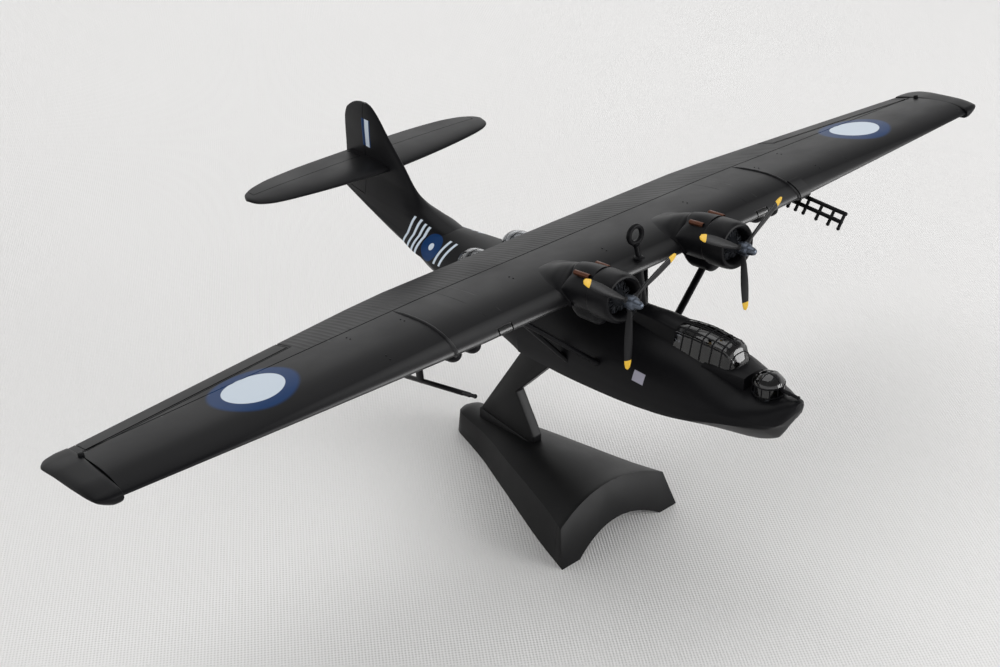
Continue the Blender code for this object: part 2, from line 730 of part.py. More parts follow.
def make_engine(side_name, side, wing_seat):
    """Engine housing, radial engine, exhaust stubs and propeller."""
    x = side * ENGINE_X
    centre = (x, 0.0, THRUST_Z)
    housing = turned("nacelle_" + side_name, COWL_PROFILE, "black_enamel", WING, centre)
    body = loft("body_" + side_name, body_rings(x), None, WING)
    ridge = loft("ridge_" + side_name, arch_rings(x, RIDGE_TABLE, 1.0), None, WING)
    chin = loft("chin_" + side_name, arch_rings(x, CHIN_TABLE, -1.0), None, WING)
    join(housing, body, ridge, chin)
    cut(housing, wing_seat)
    body_seat = loft("body_seat_" + side_name, body_rings(x, GAP), None, WING)
    ridge_seat = loft("ridge_seat_" + side_name, arch_rings(x, RIDGE_TABLE, 1.0, GAP), None, WING)
    cowl_seat = [(COWL_RADIUS + GAP, COWL_FRONT), (COWL_RADIUS + GAP, COWL_REAR + GAP)]
    cowl_seat = [(0.0, COWL_FRONT)] + cowl_seat + [(0.0, COWL_REAR + GAP)]
    ring_seat = turned("cowl_seat_" + side_name, cowl_seat, None, WING, centre)
    for name, offset, height, front, rear in EXHAUST_TABLE:
        start = (x + side * offset, front, THRUST_Z + height)
        end = (x + side * offset * 1.04, rear, THRUST_Z + height - 0.05)
        stub = rod("exhaust_%s_%s" % (side_name, name), [start, end], EXHAUST_RADIUS, "copper_paint", WING)
        cut(stub, body_seat, ridge_seat, ring_seat)
    weld(housing)
    engine = turned("engine_" + side_name, CRANKCASE, "gun_metal", WING, centre, CRANKCASE_STEPS)
    for k in range(CYLINDERS):
        a = 2.0 * math.pi * k / CYLINDERS
        ends = [(x + r * math.sin(a), CYLINDER_PLACE, THRUST_Z + r * math.cos(a))
                for r in (CYLINDER_FOOT, CYLINDER_TIP)]
        join(engine, rod("cylinder_%s_%d" % (side_name, k), ends, CYLINDER_RADIUS, None, WING))
    weld(engine)
    make_propeller(side_name, centre)


def make_propeller(side_name, centre):
    """Hub with dome and three twisted blades, its origin on the thrust line."""
    place = (centre[0], BLADE_PLANE, centre[2])
    axle = empty("propeller_axis_" + side_name, place, 0.0, WING)
    hub = [(radius, y - BLADE_PLANE) for radius, y in HUB_PROFILE]
    body = turned("propeller_" + side_name, hub, "propeller_black", axle)
    for k in range(BLADES):
        turn = math.radians(PROPELLER_PHASE[side_name] + 360.0 * k / BLADES)
        rings = []
        for radius, half, thick, twist in BLADE_TABLE:
            t = math.radians(twist)
            ring = []
            for i in range(BLADE_POINTS):
                a = 2.0 * math.pi * i / BLADE_POINTS
                u = half * math.cos(a)
                w = thick * math.sin(a)
                across = u * math.cos(t) + w * math.sin(t)
                along = w * math.cos(t) - u * math.sin(t)
                x = radius * math.sin(turn) + across * math.cos(turn)
                z = across * math.sin(turn) - radius * math.cos(turn)
                ring.append((x, along, z))
            rings.append(ring)
        join(body, loft("blade_%s_%d" % (side_name, k), rings, None, axle))


def make_pylon_group(hull_seat, wing_seat):
    """Pylon, wing struts with their foot fairings, direction-finding loop."""
    rings = []
    for height, lead, trail, half in PYLON_TABLE:
        ring = aerofoil(lead, trail, 1.0, camber=0.0)
        peak = max(z for y, z in ring)
        rings.append([(z * half / peak, y, height) for y, z in ring])
    pylon = loft("pylon", rings, "black_enamel", HULL)
    over = box("above_wing", *ABOVE_WING, None, WING)
    cut(pylon, hull_seat, wing_seat, over)
    for side_name, side in SIDES.items():
        for place, foot, top in STRUT_TABLE:
            rings = []
            for x, y, z in (foot, top):
                ring = []
                for i in range(STRUT_POINTS):
                    a = 2.0 * math.pi * i / STRUT_POINTS
                    across, along = STRUT_HALF[0] * math.cos(a), STRUT_HALF[1] * math.sin(a)
                    ring.append((side * (x + across), y + along, z))
                rings.append(ring)
            strut = loft("strut_%s_%s" % (side_name, place), rings, "black_enamel", WING)
            x, y, z = [a + b for a, b in zip(foot, STRUT_PAD_SHIFT)]
            pad_name = "strut_pad_%s_%s" % (side_name, place)
            join(strut, ellipsoid(pad_name, (side * x, y, z), STRUT_PAD, None, WING))
            cut(strut, hull_seat, wing_seat, over)
    inner, outer = LOOP_RING
    section = [(outer, -LOOP_HALF), (outer, LOOP_HALF), (inner, LOOP_HALF), (inner, -LOOP_HALF)]
    loop = turned("loop_aerial", section, "black_enamel", WING, LOOP_PLACE)
    join(loop, rod("loop_stem", LOOP_STEM, LOOP_HALF, None, WING))
    cut(loop, wing_seat)


def make_hull_fittings(hull_seat):
    """Cockpit canopy, bow turret with its gun, and the two waist blisters."""
    deck_rings = shoulder_rings(grown(RAISED_DECK), DECK_FOOT, DECK_CROWN)
    deck = loft("deck_seat", deck_rings, None, HULL)
    canopy_rings = shoulder_rings(CANOPY_TABLE, CANOPY_FOOT, CANOPY_CROWN)
    canopy = loft("canopy", canopy_rings, "clear_plastic", HULL)
    cut(canopy, hull_seat, deck, box("canopy_end", *CANOPY_END, None, HULL))
    turret = dome("bow_turret", TURRET_PLACE, TURRET_PROFILE, TURRET_TOP, "clear_plastic", HULL)
    cut(turret, hull_seat, deck)
    gun = rod("bow_gun", GUN_ENDS, GUN_RADIUS, "gun_metal", HULL)
    wide = [(radius + GAP, z) for radius, z in TURRET_PROFILE]
    cut(gun, dome("turret_seat", TURRET_PLACE, wide, TURRET_TOP + GAP, None, HULL))
    x, y, z = BLISTER_PLACE
    for side_name, side in SIDES.items():
        blister = ellipsoid("blister_" + side_name, (side * x, y, z), BLISTER_RADII, "clear_plastic", HULL)
        cut(blister, hull_seat)


def grown(table):
    """The same sections, wider and higher by the gap, to seat what stands on them."""
    return [(y, low + GAP, high + GAP, top + GAP) for y, low, high, top in table]


def dome(name, place, profile, top, finish, parent):
    """An upright turned body: (radius, height) rings above its place, with a small flat top."""
    rings = []
    for radius, height in profile + [(TURRET_CAP, top)]:
        ring = []
        for i in range(DOME_STEPS):
            a = 2.0 * math.pi * i / DOME_STEPS
            turn = Vector((radius * math.cos(a), radius * math.sin(a), height))
            ring.append(Vector(place) + turn)
        rings.append(ring)
    return loft(name, rings, finish, parent)


def make_stores(wing_seat):
    """Two depth bombs under each wing root and a ladder aerial outboard of them."""
    for side_name, side in SIDES.items():
        for k, x in enumerate(BOMB_PLACES):
            centre = (side * x, 0.0, BOMB_HEIGHT)
            name = "bomb_%s_%d" % (side_name, k + 1)
            bomb = turned(name, BOMB_PROFILE, "black_enamel", WING, centre, BOMB_STEPS)
            cut(bomb, wing_seat)
        make_ladder_aerial(side_name, side, wing_seat)


def make_ladder_aerial(side_name, side, wing_seat):
    """Two booms joined by rungs that end in short elements, held by a post or a saddle."""
    rear, front, (inboard, down) = LADDER_TABLE[side_name]

    def place(share, reach):
        """A point some way along the upper boom and some way along a rung."""
        y = rear[0] + share * (front[0] - rear[0])
        z = rear[1] + share * (front[1] - rear[1])
        return (side * (LADDER_X + inboard * reach), y, z + down * reach)

    name = "ladder_aerial_" + side_name
    upper = rod(name, [place(0.0, 0.0), place(1.0, 0.0)], BOOM_RADIUS, "black_enamel", WING)
    lower = [place(0.05, BOOM_SPACING), place(0.99, BOOM_SPACING)]
    join(upper, rod(name + "_lower", lower, BOOM_RADIUS, None, WING))
    for k, share in enumerate(LADDER_RUNGS):
        ends = [place(share, -0.1), place(share, RUNG_LENGTH)]
        join(upper, rod("%s_rung_%d" % (name, k), ends, RUNG_RADIUS, None, WING))
    if side < 0.0:
        join(upper, box(name + "_post", POST_LOW, POST_HIGH, None, WING))
    else:
        saddle = wing_body(name + "_saddle", list(SADDLE_SPAN), side, None, SADDLE_GROW)
        boolean(saddle, box(name + "_reach", *SADDLE_BOX, None, WING), "INTERSECT")
        join(upper, saddle)
    cut(upper, wing_seat)


def across_arch():
    """Places across an arched top, from one edge at 1 to the other at -1."""
    return [1.0 - 2.0 * i / STAND_STEPS for i in range(STAND_STEPS + 1)]


def make_stand(hull_seat):
    """Arched wedge base, open below, and the cranked arm that carries the hull."""
    rings = []
    for foot_y, top_y, foot, top, edge, arch in STAND_TABLE:
        ring = [(-foot, foot_y, 0.0), (foot, foot_y, 0.0)]
        for t in across_arch():
            rise = arch * (1.0 - t * t)
            lean = top_y + (top_y - foot_y) * rise / edge
            ring.append((top * t, lean, edge + rise))
        rings.append(ring)
    base = loft("stand_base", rings, "stand_plastic", STAND)
    tunnel = []
    for y, half, height in TUNNEL_TABLE:
        ring = [(-half, y, TUNNEL_FLOOR), (half, y, TUNNEL_FLOOR)]
        ring += [(half * t, y, height * (1.0 - t * t)) for t in across_arch()]
        tunnel.append(ring)
    cut(base, loft("stand_tunnel", tunnel, None, STAND))
    arm = prism("stand_arm", ARM_PROFILE, -ARM_HALF, ARM_HALF, "x", "stand_plastic", STAND)
    join(arm, box("stand_flange", *FLANGE_BOX, None, STAND))
    seat = [ring[:2] + [(x, y, z + GAP) for x, y, z in ring[2:]] for ring in rings]
    cut(arm, loft("base_seat", seat, None, STAND), hull_seat)


def main():
    """Build every piece of the model."""
    hull_seat = make_hull_group()
    wing_seat = make_wing_group()
    make_pylon_group(hull_seat, wing_seat)
    for side_name, side in SIDES.items():
        make_engine(side_name, side, wing_seat)
    make_hull_fittings(hull_seat)
    make_stores(wing_seat)
    make_stand(hull_seat)


main()
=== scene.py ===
"""Finish of a desk-stand display model of a twin-engined parasol-wing patrol flying boat.

Shapes are worked out in millimetres in the frames that the construction uses: the hull frame
(origin at the keel under the main step), the wing frame (origin on the leading edge at the
centre line) and the stand frame. In each, x goes to port, y aft and z up. Sizes that a user
may change are properties, in metres.
"""

import bpy
import numpy as np
from bpy.props import FloatProperty, FloatVectorProperty, IntProperty, PointerProperty
from mathutils import Matrix, Vector


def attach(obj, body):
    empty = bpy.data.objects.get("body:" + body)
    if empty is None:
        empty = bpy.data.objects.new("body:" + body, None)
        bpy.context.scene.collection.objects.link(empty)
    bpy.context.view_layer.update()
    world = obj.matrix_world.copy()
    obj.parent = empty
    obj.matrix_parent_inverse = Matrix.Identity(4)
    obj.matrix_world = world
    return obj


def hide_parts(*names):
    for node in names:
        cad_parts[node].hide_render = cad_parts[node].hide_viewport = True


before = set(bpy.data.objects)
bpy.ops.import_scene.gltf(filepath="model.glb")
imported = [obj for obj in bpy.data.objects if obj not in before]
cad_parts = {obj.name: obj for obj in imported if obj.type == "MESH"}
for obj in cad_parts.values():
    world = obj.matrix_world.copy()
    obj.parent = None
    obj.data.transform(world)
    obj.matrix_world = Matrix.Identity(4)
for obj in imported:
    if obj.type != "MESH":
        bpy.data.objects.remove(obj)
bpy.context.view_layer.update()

bl_info = {
    "name": "Flying boat model",
    "version": (1, 0, 0),
    "blender": (4, 5, 0),
    "location": "3D View > Sidebar > Flying boat",
    "description": "Builds the finish of a flying boat display model around its frame",
    "category": "Object",
}

MM = 0.001
SIDES = {"starboard": -1.0, "port": 1.0}
# Half the distance between the two stations at a step in an edge.
FLAT_CUT = 1e-4


def rotation(axis, degrees):
    """Turn matrix about one axis: x, y or z."""
    return np.array(Matrix.Rotation(np.radians(degrees), 3, axis.upper()))


# Each frame is its origin and its turn; a nose-up pitch turns it back about x.
HULL = (np.array([0.0, -6.0, 33.9]), rotation("x", -4.0))
WING = (np.array([0.0, -27.5, 62.7]), rotation("x", -8.7))
STAND = (np.array([0.0, -0.45, 0.0]), rotation("x", 0.0))
# The wing's leading edge seen in the hull frame, as y and z, and its fall aft in degrees.
WING_TO_HULL = ((-23.46, 27.23), 4.7)


def to_world(points, datum):
    """Millimetres in a frame to world metres: turn, then shift, then scale."""
    origin, turn = datum
    return (np.asarray(points, float) @ turn.T + origin) * MM


# Hull sections: y, keel, chine height, half beam, widest height, half width, deck, fullness.
HULL_TABLE = np.array([
    (-59.6, 14.2, 14.4, 0.5, 15.0, 0.9, 15.8, 2.2),
    (-59.0, 12.9, 13.3, 1.5, 14.4, 1.9, 16.1, 2.2),
    (-57.8, 10.7, 11.9, 2.7, 13.2, 2.8, 15.9, 2.2),
    (-55.5, 7.1, 10.9, 4.6, 12.0, 4.7, 15.2, 2.2),
    (-50.5, 4.9, 10.6, 7.4, 10.9, 7.5, 14.8, 2.2),
    (-46.5, 4.3, 9.8, 8.6, 10.3, 8.7, 16.0, 2.2),
    (-42.5, 3.9, 8.6, 9.2, 9.6, 9.4, 17.2, 2.2),
    (-36.0, 3.0, 7.2, 9.6, 9.1, 9.8, 17.7, 2.1),
    (-25.0, 1.8, 5.8, 10.0, 8.5, 10.2, 17.8, 2.1),
    (-10.0, 0.7, 4.8, 10.2, 8.2, 10.35, 17.8, 2.1),
    (0.0, 0.0, 4.6, 10.2, 8.0, 10.3, 17.6, 2.1),
    (0.1, 0.9, 4.7, 10.15, 8.0, 10.3, 17.6, 2.1),
    (12.0, 1.6, 6.6, 9.4, 9.0, 9.9, 17.2, 2.1),
    (22.0, 2.4, 8.0, 8.2, 10.0, 8.8, 16.6, 1.95),
    (30.0, 3.2, 9.0, 6.6, 10.6, 7.4, 16.3, 1.75),
    (35.0, 3.8, 9.6, 5.6, 11.0, 6.6, 16.2, 1.6),
    (35.1, 6.2, 9.7, 5.4, 11.0, 6.6, 16.2, 1.6),
    (46.0, 8.5, 10.9, 4.1, 12.1, 4.7, 15.8, 1.35),
    (58.0, 11.1, 12.7, 2.4, 13.4, 2.8, 16.0, 1.4),
    (69.5, 13.5, 14.4, 0.6, 14.9, 0.9, 16.4, 1.6),
])
# Soft knuckle along the bow above the chine: y and height.
KNUCKLE = np.array([(-58.0, 11.6), (-56.3, 11.9), (-52.1, 12.2), (-47.1, 11.8), (-40.0, 10.6)])
# Shoulder sections: y, half width at the foot, half width at the top, top height.
RAISED_DECK = np.array([(-41.5, 4.2, 4.1, 17.3), (-44.5, 3.8, 3.7, 17.6), (-49.6, 2.5, 2.4, 17.2)])
FAIRING = np.array([
    (-33.5, 3.95, 2.5, 20.4), (-29.5, 3.6, 2.3, 20.4), (-26.0, 3.3, 2.1, 20.1),
    (-22.5, 3.1, 1.9, 19.9), (-14.0, 3.0, 1.8, 19.7), (-11.0, 2.4, 1.2, 18.2),
])
CANOPY = np.array([
    (-47.1, 2.5, 1.5, 17.9), (-46.6, 3.2, 2.0, 19.1), (-45.8, 3.7, 2.4, 20.5), (-44.9, 3.9, 2.5, 20.95),
    (-43.9, 4.0, 2.5, 21.0), (-39.5, 4.2, 2.7, 21.1), (-35.3, 4.1, 2.6, 20.7), (-33.6, 4.0, 2.5, 20.4),
])
# Height of the foot inside the hull, crown and rounding of each set of shoulder sections.
DECK_SHAPE = (12.5, 0.3, 0.2)
FAIRING_SHAPE = (14.0, 0.6, 0.5)
CANOPY_SHAPE = (14.0, 0.7, 0.5)
# Thickness of the clear parts.
GLASS = 0.22
# Turret: its foot and the radius and height of its profile. Gun: its two ends. Blister: middle
# and radii on the port side.
TURRET = (0.0, -52.9, 13.2)
TURRET_PROFILE = np.array([(2.7, 0.0), (2.7, 3.8), (2.45, 4.45), (1.9, 5.0), (1.1, 5.45), (0.01, 5.6)])
GUN = ((0.0, -55.3, 16.7), (0.0, -59.45, 16.7))
BLISTER = ((5.6, 17.3, 14.5), (3.6, 4.6, 4.0))

# Fin sections: height, leading edge, trailing edge, half thickness.
FIN_TABLE = np.array([
    (11.3, 23.0, 46.0, 2.2), (12.4, 23.3, 53.5, 2.2), (13.4, 23.6, 61.0, 2.2), (14.1, 23.8, 65.5, 2.2),
    (14.6, 24.0, 69.3, 2.2), (15.8, 28.5, 69.3, 2.1), (16.7, 33.0, 69.25, 1.8),
    (18.2, 39.4, 69.15, 1.5), (20.7, 43.9, 69.0, 1.3), (24.9, 47.6, 68.7, 1.15),
    (30.8, 53.2, 68.3, 0.95), (33.2, 55.2, 67.4, 0.8), (34.8, 56.8, 65.4, 0.62),
    (35.7, 58.0, 63.5, 0.45), (36.15, 59.2, 61.7, 0.22),
])
FIN_START = 11.4
RUDDER_HINGE = 60.4
RUDDER_FOOT = 15.6
# Tailplane: distance outboard, leading and trailing edge.
TAIL_HEIGHT = 23.6
TAIL_THICKNESS = 0.11
TAIL_PLAN = np.array([
    (0.0, 51.2, 66.9), (12.0, 52.3, 66.7), (22.0, 53.8, 65.8), (27.0, 55.0, 64.4),
    (29.6, 56.5, 62.8), (30.6, 57.9, 61.6), (31.0, 59.3, 60.3),
])
ELEVATOR_HINGE = (61.0, 60.6)
ELEVATOR_SPAN = (1.9, 29.0)

# Wing plan: distance outboard, leading edge, trailing edge, thickness over chord.
WING_PLAN = np.array([
    (0.0, 0.0, 29.3, 0.155), (36.0, 0.0, 29.2, 0.155), (44.5, 0.3, 28.5, 0.15),
    (66.0, 1.3, 25.8, 0.14), (99.9, 3.0, 21.4, 0.12),
])
# Camber and its place as shares of the chord, and how much slimmer the lower front is.
CAMBER = 0.03
CAMBER_PLACE = 0.3
LOWER_SLIM = 0.2
TRAILING_EDGE = 0.5
# Where the outer wings start, and the gaps at moulded joints, at hinges and between wing parts.
WING_JOINT = 42.0
JOINT_GAP = 0.075
HINGE_GAP = 0.2
PARTING = 0.01
# The seam where the ribs start; the second engraved line, ahead of the aileron and beside it.
SEAM = 17.5
TAB_AHEAD = 0.55
TAB_BESIDE = 0.5
AILERON_SPAN = (60.2, 98.6)
AILERON_HINGE = (22.3, 17.6)
LAMP_SPAN = (30.1, 33.1)
LAMP_DEPTH = 0.6
# Tip float: place along the chord, reach outboard, top and bottom.
FLOAT_ROOT = 99.95
FLOAT_TABLE = np.array([
    (2.6, 1.6, 0.3, -0.3), (2.9, 3.2, 0.7, -0.8), (3.6, 4.2, 1.1, -1.2), (8.0, 4.9, 1.55, -1.4),
    (14.0, 5.3, 1.5, -1.4), (18.0, 5.55, 1.15, -1.1), (20.2, 4.5, 0.8, -0.8), (21.2, 2.8, 0.5, -0.5),
])

# Engines: place of the thrust line, then tables of y and sizes about it.
ENGINE_X = 13.84
THRUST_Z = 2.07
# Cowl: radius and y.
COWL_PROFILE = np.array([
    (3.1, -5.6), (3.12, -8.5), (3.2, -9.1), (3.4, -9.48), (3.75, -9.69), (4.05, -9.6),
    (4.25, -9.25), (4.34, -8.7), (4.4, -7.9), (4.4, -5.15), (4.37, -5.0), (4.22, -4.88),
])
# Body: y, half width, height above and below; ridge and chin: y, half width, foot, crown.
BODY_TABLE = np.array([
    (-4.86, 4.12, 4.12, 4.12), (-1.0, 4.15, 3.6, 4.15), (0.8, 4.12, 2.9, 4.14), (1.8, 4.1, 1.4, 4.12),
    (3.0, 4.0, 0.4, 4.1), (5.0, 3.8, 0.3, 4.0), (7.0, 3.5, 0.2, 3.9), (12.0, 2.6, 0.15, 3.5),
    (16.4, 1.2, 0.1, 3.0),
])
RIDGE_TABLE = np.array([
    (-5.05, 1.9, 2.0, 4.33), (-2.7, 1.9, 1.8, 4.3), (0.8, 1.8, 1.2, 3.95), (2.6, 1.4, 0.6, 2.6),
])
# Fairing of the housing over the wing: y, half width, height above the wing, fall-off power.
SADDLE_TABLE = np.array([
    (-0.5, 4.0, 4.6, 0.8), (0.5, 4.2, 4.55, 0.8), (2.5, 4.6, 3.4, 1.3), (4.5, 4.8, 2.27, 2.0),
    (7.4, 4.2, 0.85, 2.4), (10.2, 3.2, 0.0, 2.4),
])
CHIN_TABLE = np.array([
    (-4.86, 1.1, 2.6, 4.4), (-4.4, 1.6, 3.2, 5.7), (-3.4, 1.9, 3.4, 6.4), (0.4, 1.9, 3.4, 6.4),
    (1.7, 1.7, 3.1, 5.8), (2.4, 1.3, 2.6, 4.7),
])
# Exhaust stubs: name, offset outboard, height, front and rear.
EXHAUSTS = [("outer", 2.5, 3.5, -4.2, -0.6), ("inner", -2.3, 3.35, -3.8, -0.6)]
CYLINDERS = 9
# Propellers: blades, y of their plane, turn of the first blade in degrees, radius and y of the hub.
BLADES = 3
BLADE_PLANE = -10.9
PROPELLER_PHASE = {"starboard": -7.2, "port": 1.2}
HUB_PROFILE = np.array([
    (0.01, -13.88), (0.3, -13.84), (0.55, -13.65), (0.7, -13.3), (0.8, -12.7), (0.85, -12.4),
    (1.1, -12.2), (1.15, -12.0), (1.15, -10.3), (1.0, -10.15), (0.01, -10.12),
])
# Blade sections: radius, half chord, half thickness, twist.
BLADE_TABLE = np.array([
    (0.9, 0.36, 0.36, 35.0), (1.9, 0.44, 0.34, 30.0), (4.2, 0.66, 0.26, 20.0),
    (7.5, 0.82, 0.20, 13.0), (10.6, 0.72, 0.15, 8.0), (11.8, 0.48, 0.12, 6.0),
    (12.12, 0.14, 0.08, 6.0),
])

# Pylon: height, leading and trailing edge, half thickness. Struts: foot and top on the port side.
PYLON_TABLE = np.array([(17.0, -24.9, 6.5, 2.2), (18.5, -24.5, 6.0, 2.1), (30.0, -22.0, 4.5, 1.9)])
STRUTS = [
    ("front", (8.6, 3.4, -16.8), (28.2, 4.4, 0.9)),
    ("rear", (8.6, 10.0, -20.0), (22.0, 22.0, 0.3)),
]
# Radii of a strut's pad and how far it sits up the strut; the middle of the loop aerial.
STRUT_PAD = (1.05, 2.1, 0.62)
STRUT_PAD_RISE = 1.3
LOOP_PLACE = (0.0, 1.6, 6.2)
# Bombs: distances outboard, height of their axes, then radius and y.
BOMB_PLACES = (35.2, 39.3)
BOMB_HEIGHT = -2.65
BOMB_PROFILE = np.array([
    (0.01, 3.52), (0.5, 3.6), (0.85, 3.8), (1.35, 4.5), (1.5, 5.0), (1.55, 5.6), (1.55, 8.0),
    (1.55, 10.0), (1.3, 11.4), (1.05, 12.4), (0.4, 13.95), (0.01, 13.98),
])
LADDER_X = 45.3
# Ladder aerials: rear and front of the upper boom as y and z, and the way the rungs point.
LADDERS = {
    "port": ((5.0, -0.65), (-8.6, -2.5), (-0.656, -0.755)),
    "starboard": ((11.2, -6.45), (-5.0, -3.95), (-0.825, -0.566)),
}
# Rungs as shares of the upper boom, their length, and the drop to the lower boom.
RUNGS = (0.07, 0.21, 0.35, 0.58, 0.79, 0.97)
RUNG_LENGTH = 3.4
BOOM_SPACING = 1.75
# The port ladder's strap across the wing; the starboard ladder's post.
SADDLE_SPAN = (42.2, 45.2)
POST = ((-45.3, 6.7, -6.0), (-45.3, 6.7, 0.6))

# Stand base: y at foot and top, half width at foot and top, edge height, rise of the arch.
STAND_TABLE = np.array([
    (-25.3, -22.6, 15.8, 14.0, 7.5, 3.8), (-16.6, -16.6, 13.8, 11.9, 7.2, 3.4),
    (2.4, 2.4, 8.2, 6.9, 6.4, 2.3), (12.4, 12.4, 5.3, 4.3, 5.9, 1.4), (19.0, 19.0, 3.9, 3.4, 5.5, 0.8),
    (22.4, 22.4, 3.2, 2.8, 5.3, 0.5), (23.6, 23.4, 2.5, 2.1, 5.1, 0.4), (24.2, 24.0, 1.4, 1.1, 4.9, 0.3),
])
# Opening below the base: y, half width, height. Arm: its outline as y and z.
TUNNEL_TABLE = np.array([(-27.0, 11.4, 4.0), (-10.0, 8.2, 3.3), (10.0, 3.4, 2.4), (18.0, 1.6, 1.6)])
ARM_PROFILE = [
    (0.2, 6.0), (0.2, 10.3), (5.9, 18.9), (3.4, 21.7), (-4.0, 30.3), (-4.0, 35.3), (4.2, 35.3),
    (4.2, 30.0), (17.0, 9.2), (17.0, 6.0),
]


def linear(code):
    """sRGB hex to linear red, green and blue."""
    part = np.array([int(code[i:i + 2], 16) for i in (0, 2, 4)]) / 255.0
    return tuple(np.where(part <= 0.04045, part / 12.92, ((part + 0.055) / 1.055) ** 2.4).tolist())


def colour(name, code, text):
    """A colour property whose default is an sRGB hex value."""
    return FloatVectorProperty(name=name, description=text, subtype="COLOR", default=linear(code))


class FinishColours(bpy.types.PropertyGroup):
    """Colours of the model's finishes."""
    enamel: colour("Black enamel", "0f0f11", "Satin black enamel of hull, wing and tail")
    stand: colour("Stand", "0f0f10", "Moulded plastic of the stand")
    hub: colour("Hub", "565c66", "Blue-grey metallic paint of the propeller hubs")
    tips: colour("Blade tips", "d0a838", "Yellow paint of the blade tips")
    copper: colour("Exhausts", "502e1e", "Copper-coloured paint of the exhaust stubs")
    blue: colour("Disc blue", "05305e", "Blue of the discs and the fin stripes")
    white: colour("Disc white", "cbd6e1", "White of the discs, bars and stripes")
    patch: colour("Side panel", "a6a4b2", "Pale square on the hull side")


def size_in_mm(name, millimetres, text):
    """A length property whose default is given in millimetres."""
    return FloatProperty(name=name, description=text, default=millimetres * MM, unit="LENGTH",
                         precision=5)


class WingSizes(bpy.types.PropertyGroup):
    """Sizes of the wing's moulded detail."""
    rib_pitch: size_in_mm("Rib pitch", 1.02, "Distance between the fine ribs aft of the seam")
    rib_height: size_in_mm("Rib height", 0.05, "How far a fine rib stands up")
    groove_width: size_in_mm("Groove width", 0.15, "Half width of the engraved lines")
    groove_depth: size_in_mm("Groove depth", 0.16, "Depth of the engraved lines")


def amount(name, value, text, **rest):
    """A plain number property."""
    return FloatProperty(name=name, description=text, default=value, **rest)


class StageSettings(bpy.types.PropertyGroup):
    """Camera, floor and lights."""
    lens: amount("Lens", 52.66, "Focal length", unit="CAMERA")
    floor: colour("Floor", "efeeed", "Pale cloth under the model")
    back: amount("Back light", 0.3, "Power of the back softbox", unit="POWER")
    front: amount("Front light", 3.0, "Power of the front softbox", unit="POWER")
    overhead: amount("Overhead light", 4.5, "Power of the top softbox", unit="POWER")
    room_low: amount("Room low", 1.25, "Brightness of the room at the horizon")
    room_high: amount("Room high", 0.3, "Brightness of the room overhead")


class ModelDetail(bpy.types.PropertyGroup):
    """How finely round shapes are divided."""
    around: IntProperty(name="Steps around", description="Steps round a turned shape",
                        default=48, min=12)


def setting(group):
    """One of the property groups on the scene."""
    return getattr(bpy.context.scene, "flying_boat_" + group)


def through(table, at):
    """Read a table at new places by a cubic that passes through its rows without overshoot.

    Between two rows the value is the Hermite cubic of their values and slopes; a row's slope is
    the harmonic mean of the slopes on its two sides, or nought where they differ in sign.
    """
    table = table[np.argsort(table[:, 0])]
    at = np.asarray(at, float)
    place, values = table[:, 0], table[:, 1:]
    step = np.diff(place)[:, None]
    slope = np.diff(values, axis=0) / step
    before, after = slope[:-1], slope[1:]
    total = before + after
    same = before * after > 0.0
    inner = np.where(same, 2.0 * before * after / np.where(same, total, 1.0), 0.0)
    ends = np.vstack([slope[:1], inner, slope[-1:]])
    i = np.clip(np.searchsorted(place, at, side="right") - 1, 0, len(place) - 2)
    t = np.clip((at - place[i]) / step[i, 0], 0.0, 1.0)[:, None]
    rise = values[i] * (1 + 2 * t) * (1 - t) ** 2 + values[i + 1] * t**2 * (3 - 2 * t)
    return rise + step[i] * (ends[i] * t * (1 - t) ** 2 - ends[i + 1] * t**2 * (1 - t))


def straight(table, at):
    """Read a table at new places by straight lines between its rows."""
    return np.stack([np.interp(at, table[:, 0], column) for column in table[:, 1:].T], 1)


def skin(rings, loop=False):
    """A closed shell through rings of equal counts: quads between neighbours and a flat cap at
    each end, unless the rings themselves close in a loop. Its faces point outwards, by the sign
    of the volume, which is the sum over faces of middle times area vector."""
    rings = np.asarray(rings, float)
    count, around = rings.shape[:2]
    rows = count if loop else count - 1
    i, j = np.meshgrid(np.arange(rows), np.arange(around), indexing="ij")
    below, beside = (i + 1) % count, (j + 1) % around
    quads = np.stack([i, i, below, below], -1) * around + np.stack([j, beside, beside, j], -1)
    quads = quads.reshape(-1, 4)
    points = rings.reshape(-1, 3)
    middle = points.mean(0)
    a, b, c, d = (points[quads[:, k]] - middle for k in range(4))
    volume = np.sum((a + b + c + d) * np.cross(c - a, d - b)) / 8.0
    faces = quads.tolist()
    if not loop:
        first = np.arange(around)[::-1]
        last = np.arange(around) + (count - 1) * around
        for cap in (first, last):
            edge = points[cap] - middle
            volume += np.sum(edge.mean(0) * np.cross(edge, np.roll(edge, -1, 0)).sum(0)) / 2.0
            faces.append(cap.tolist())
    if volume < 0.0:
        faces = [face[::-1] for face in faces]
    return points, faces


def angles(steps):
    """Even turns round a full circle."""
    return np.linspace(0.0, 2.0 * np.pi, steps, endpoint=False)


def grid(x, y, z):
    """Points from three arrays, each spread to the shape they share."""
    return np.stack(np.broadcast_arrays(x, y, z), -1)


def there_and_back(first, second):
    """Closed sections: one line forwards, then the second one back."""
    return np.concatenate([first, second[:, ::-1]], axis=1)


def along_table(table, steps):
    """Even places from a table's first row to its last."""
    return np.linspace(table[0, 0], table[-1, 0], steps)


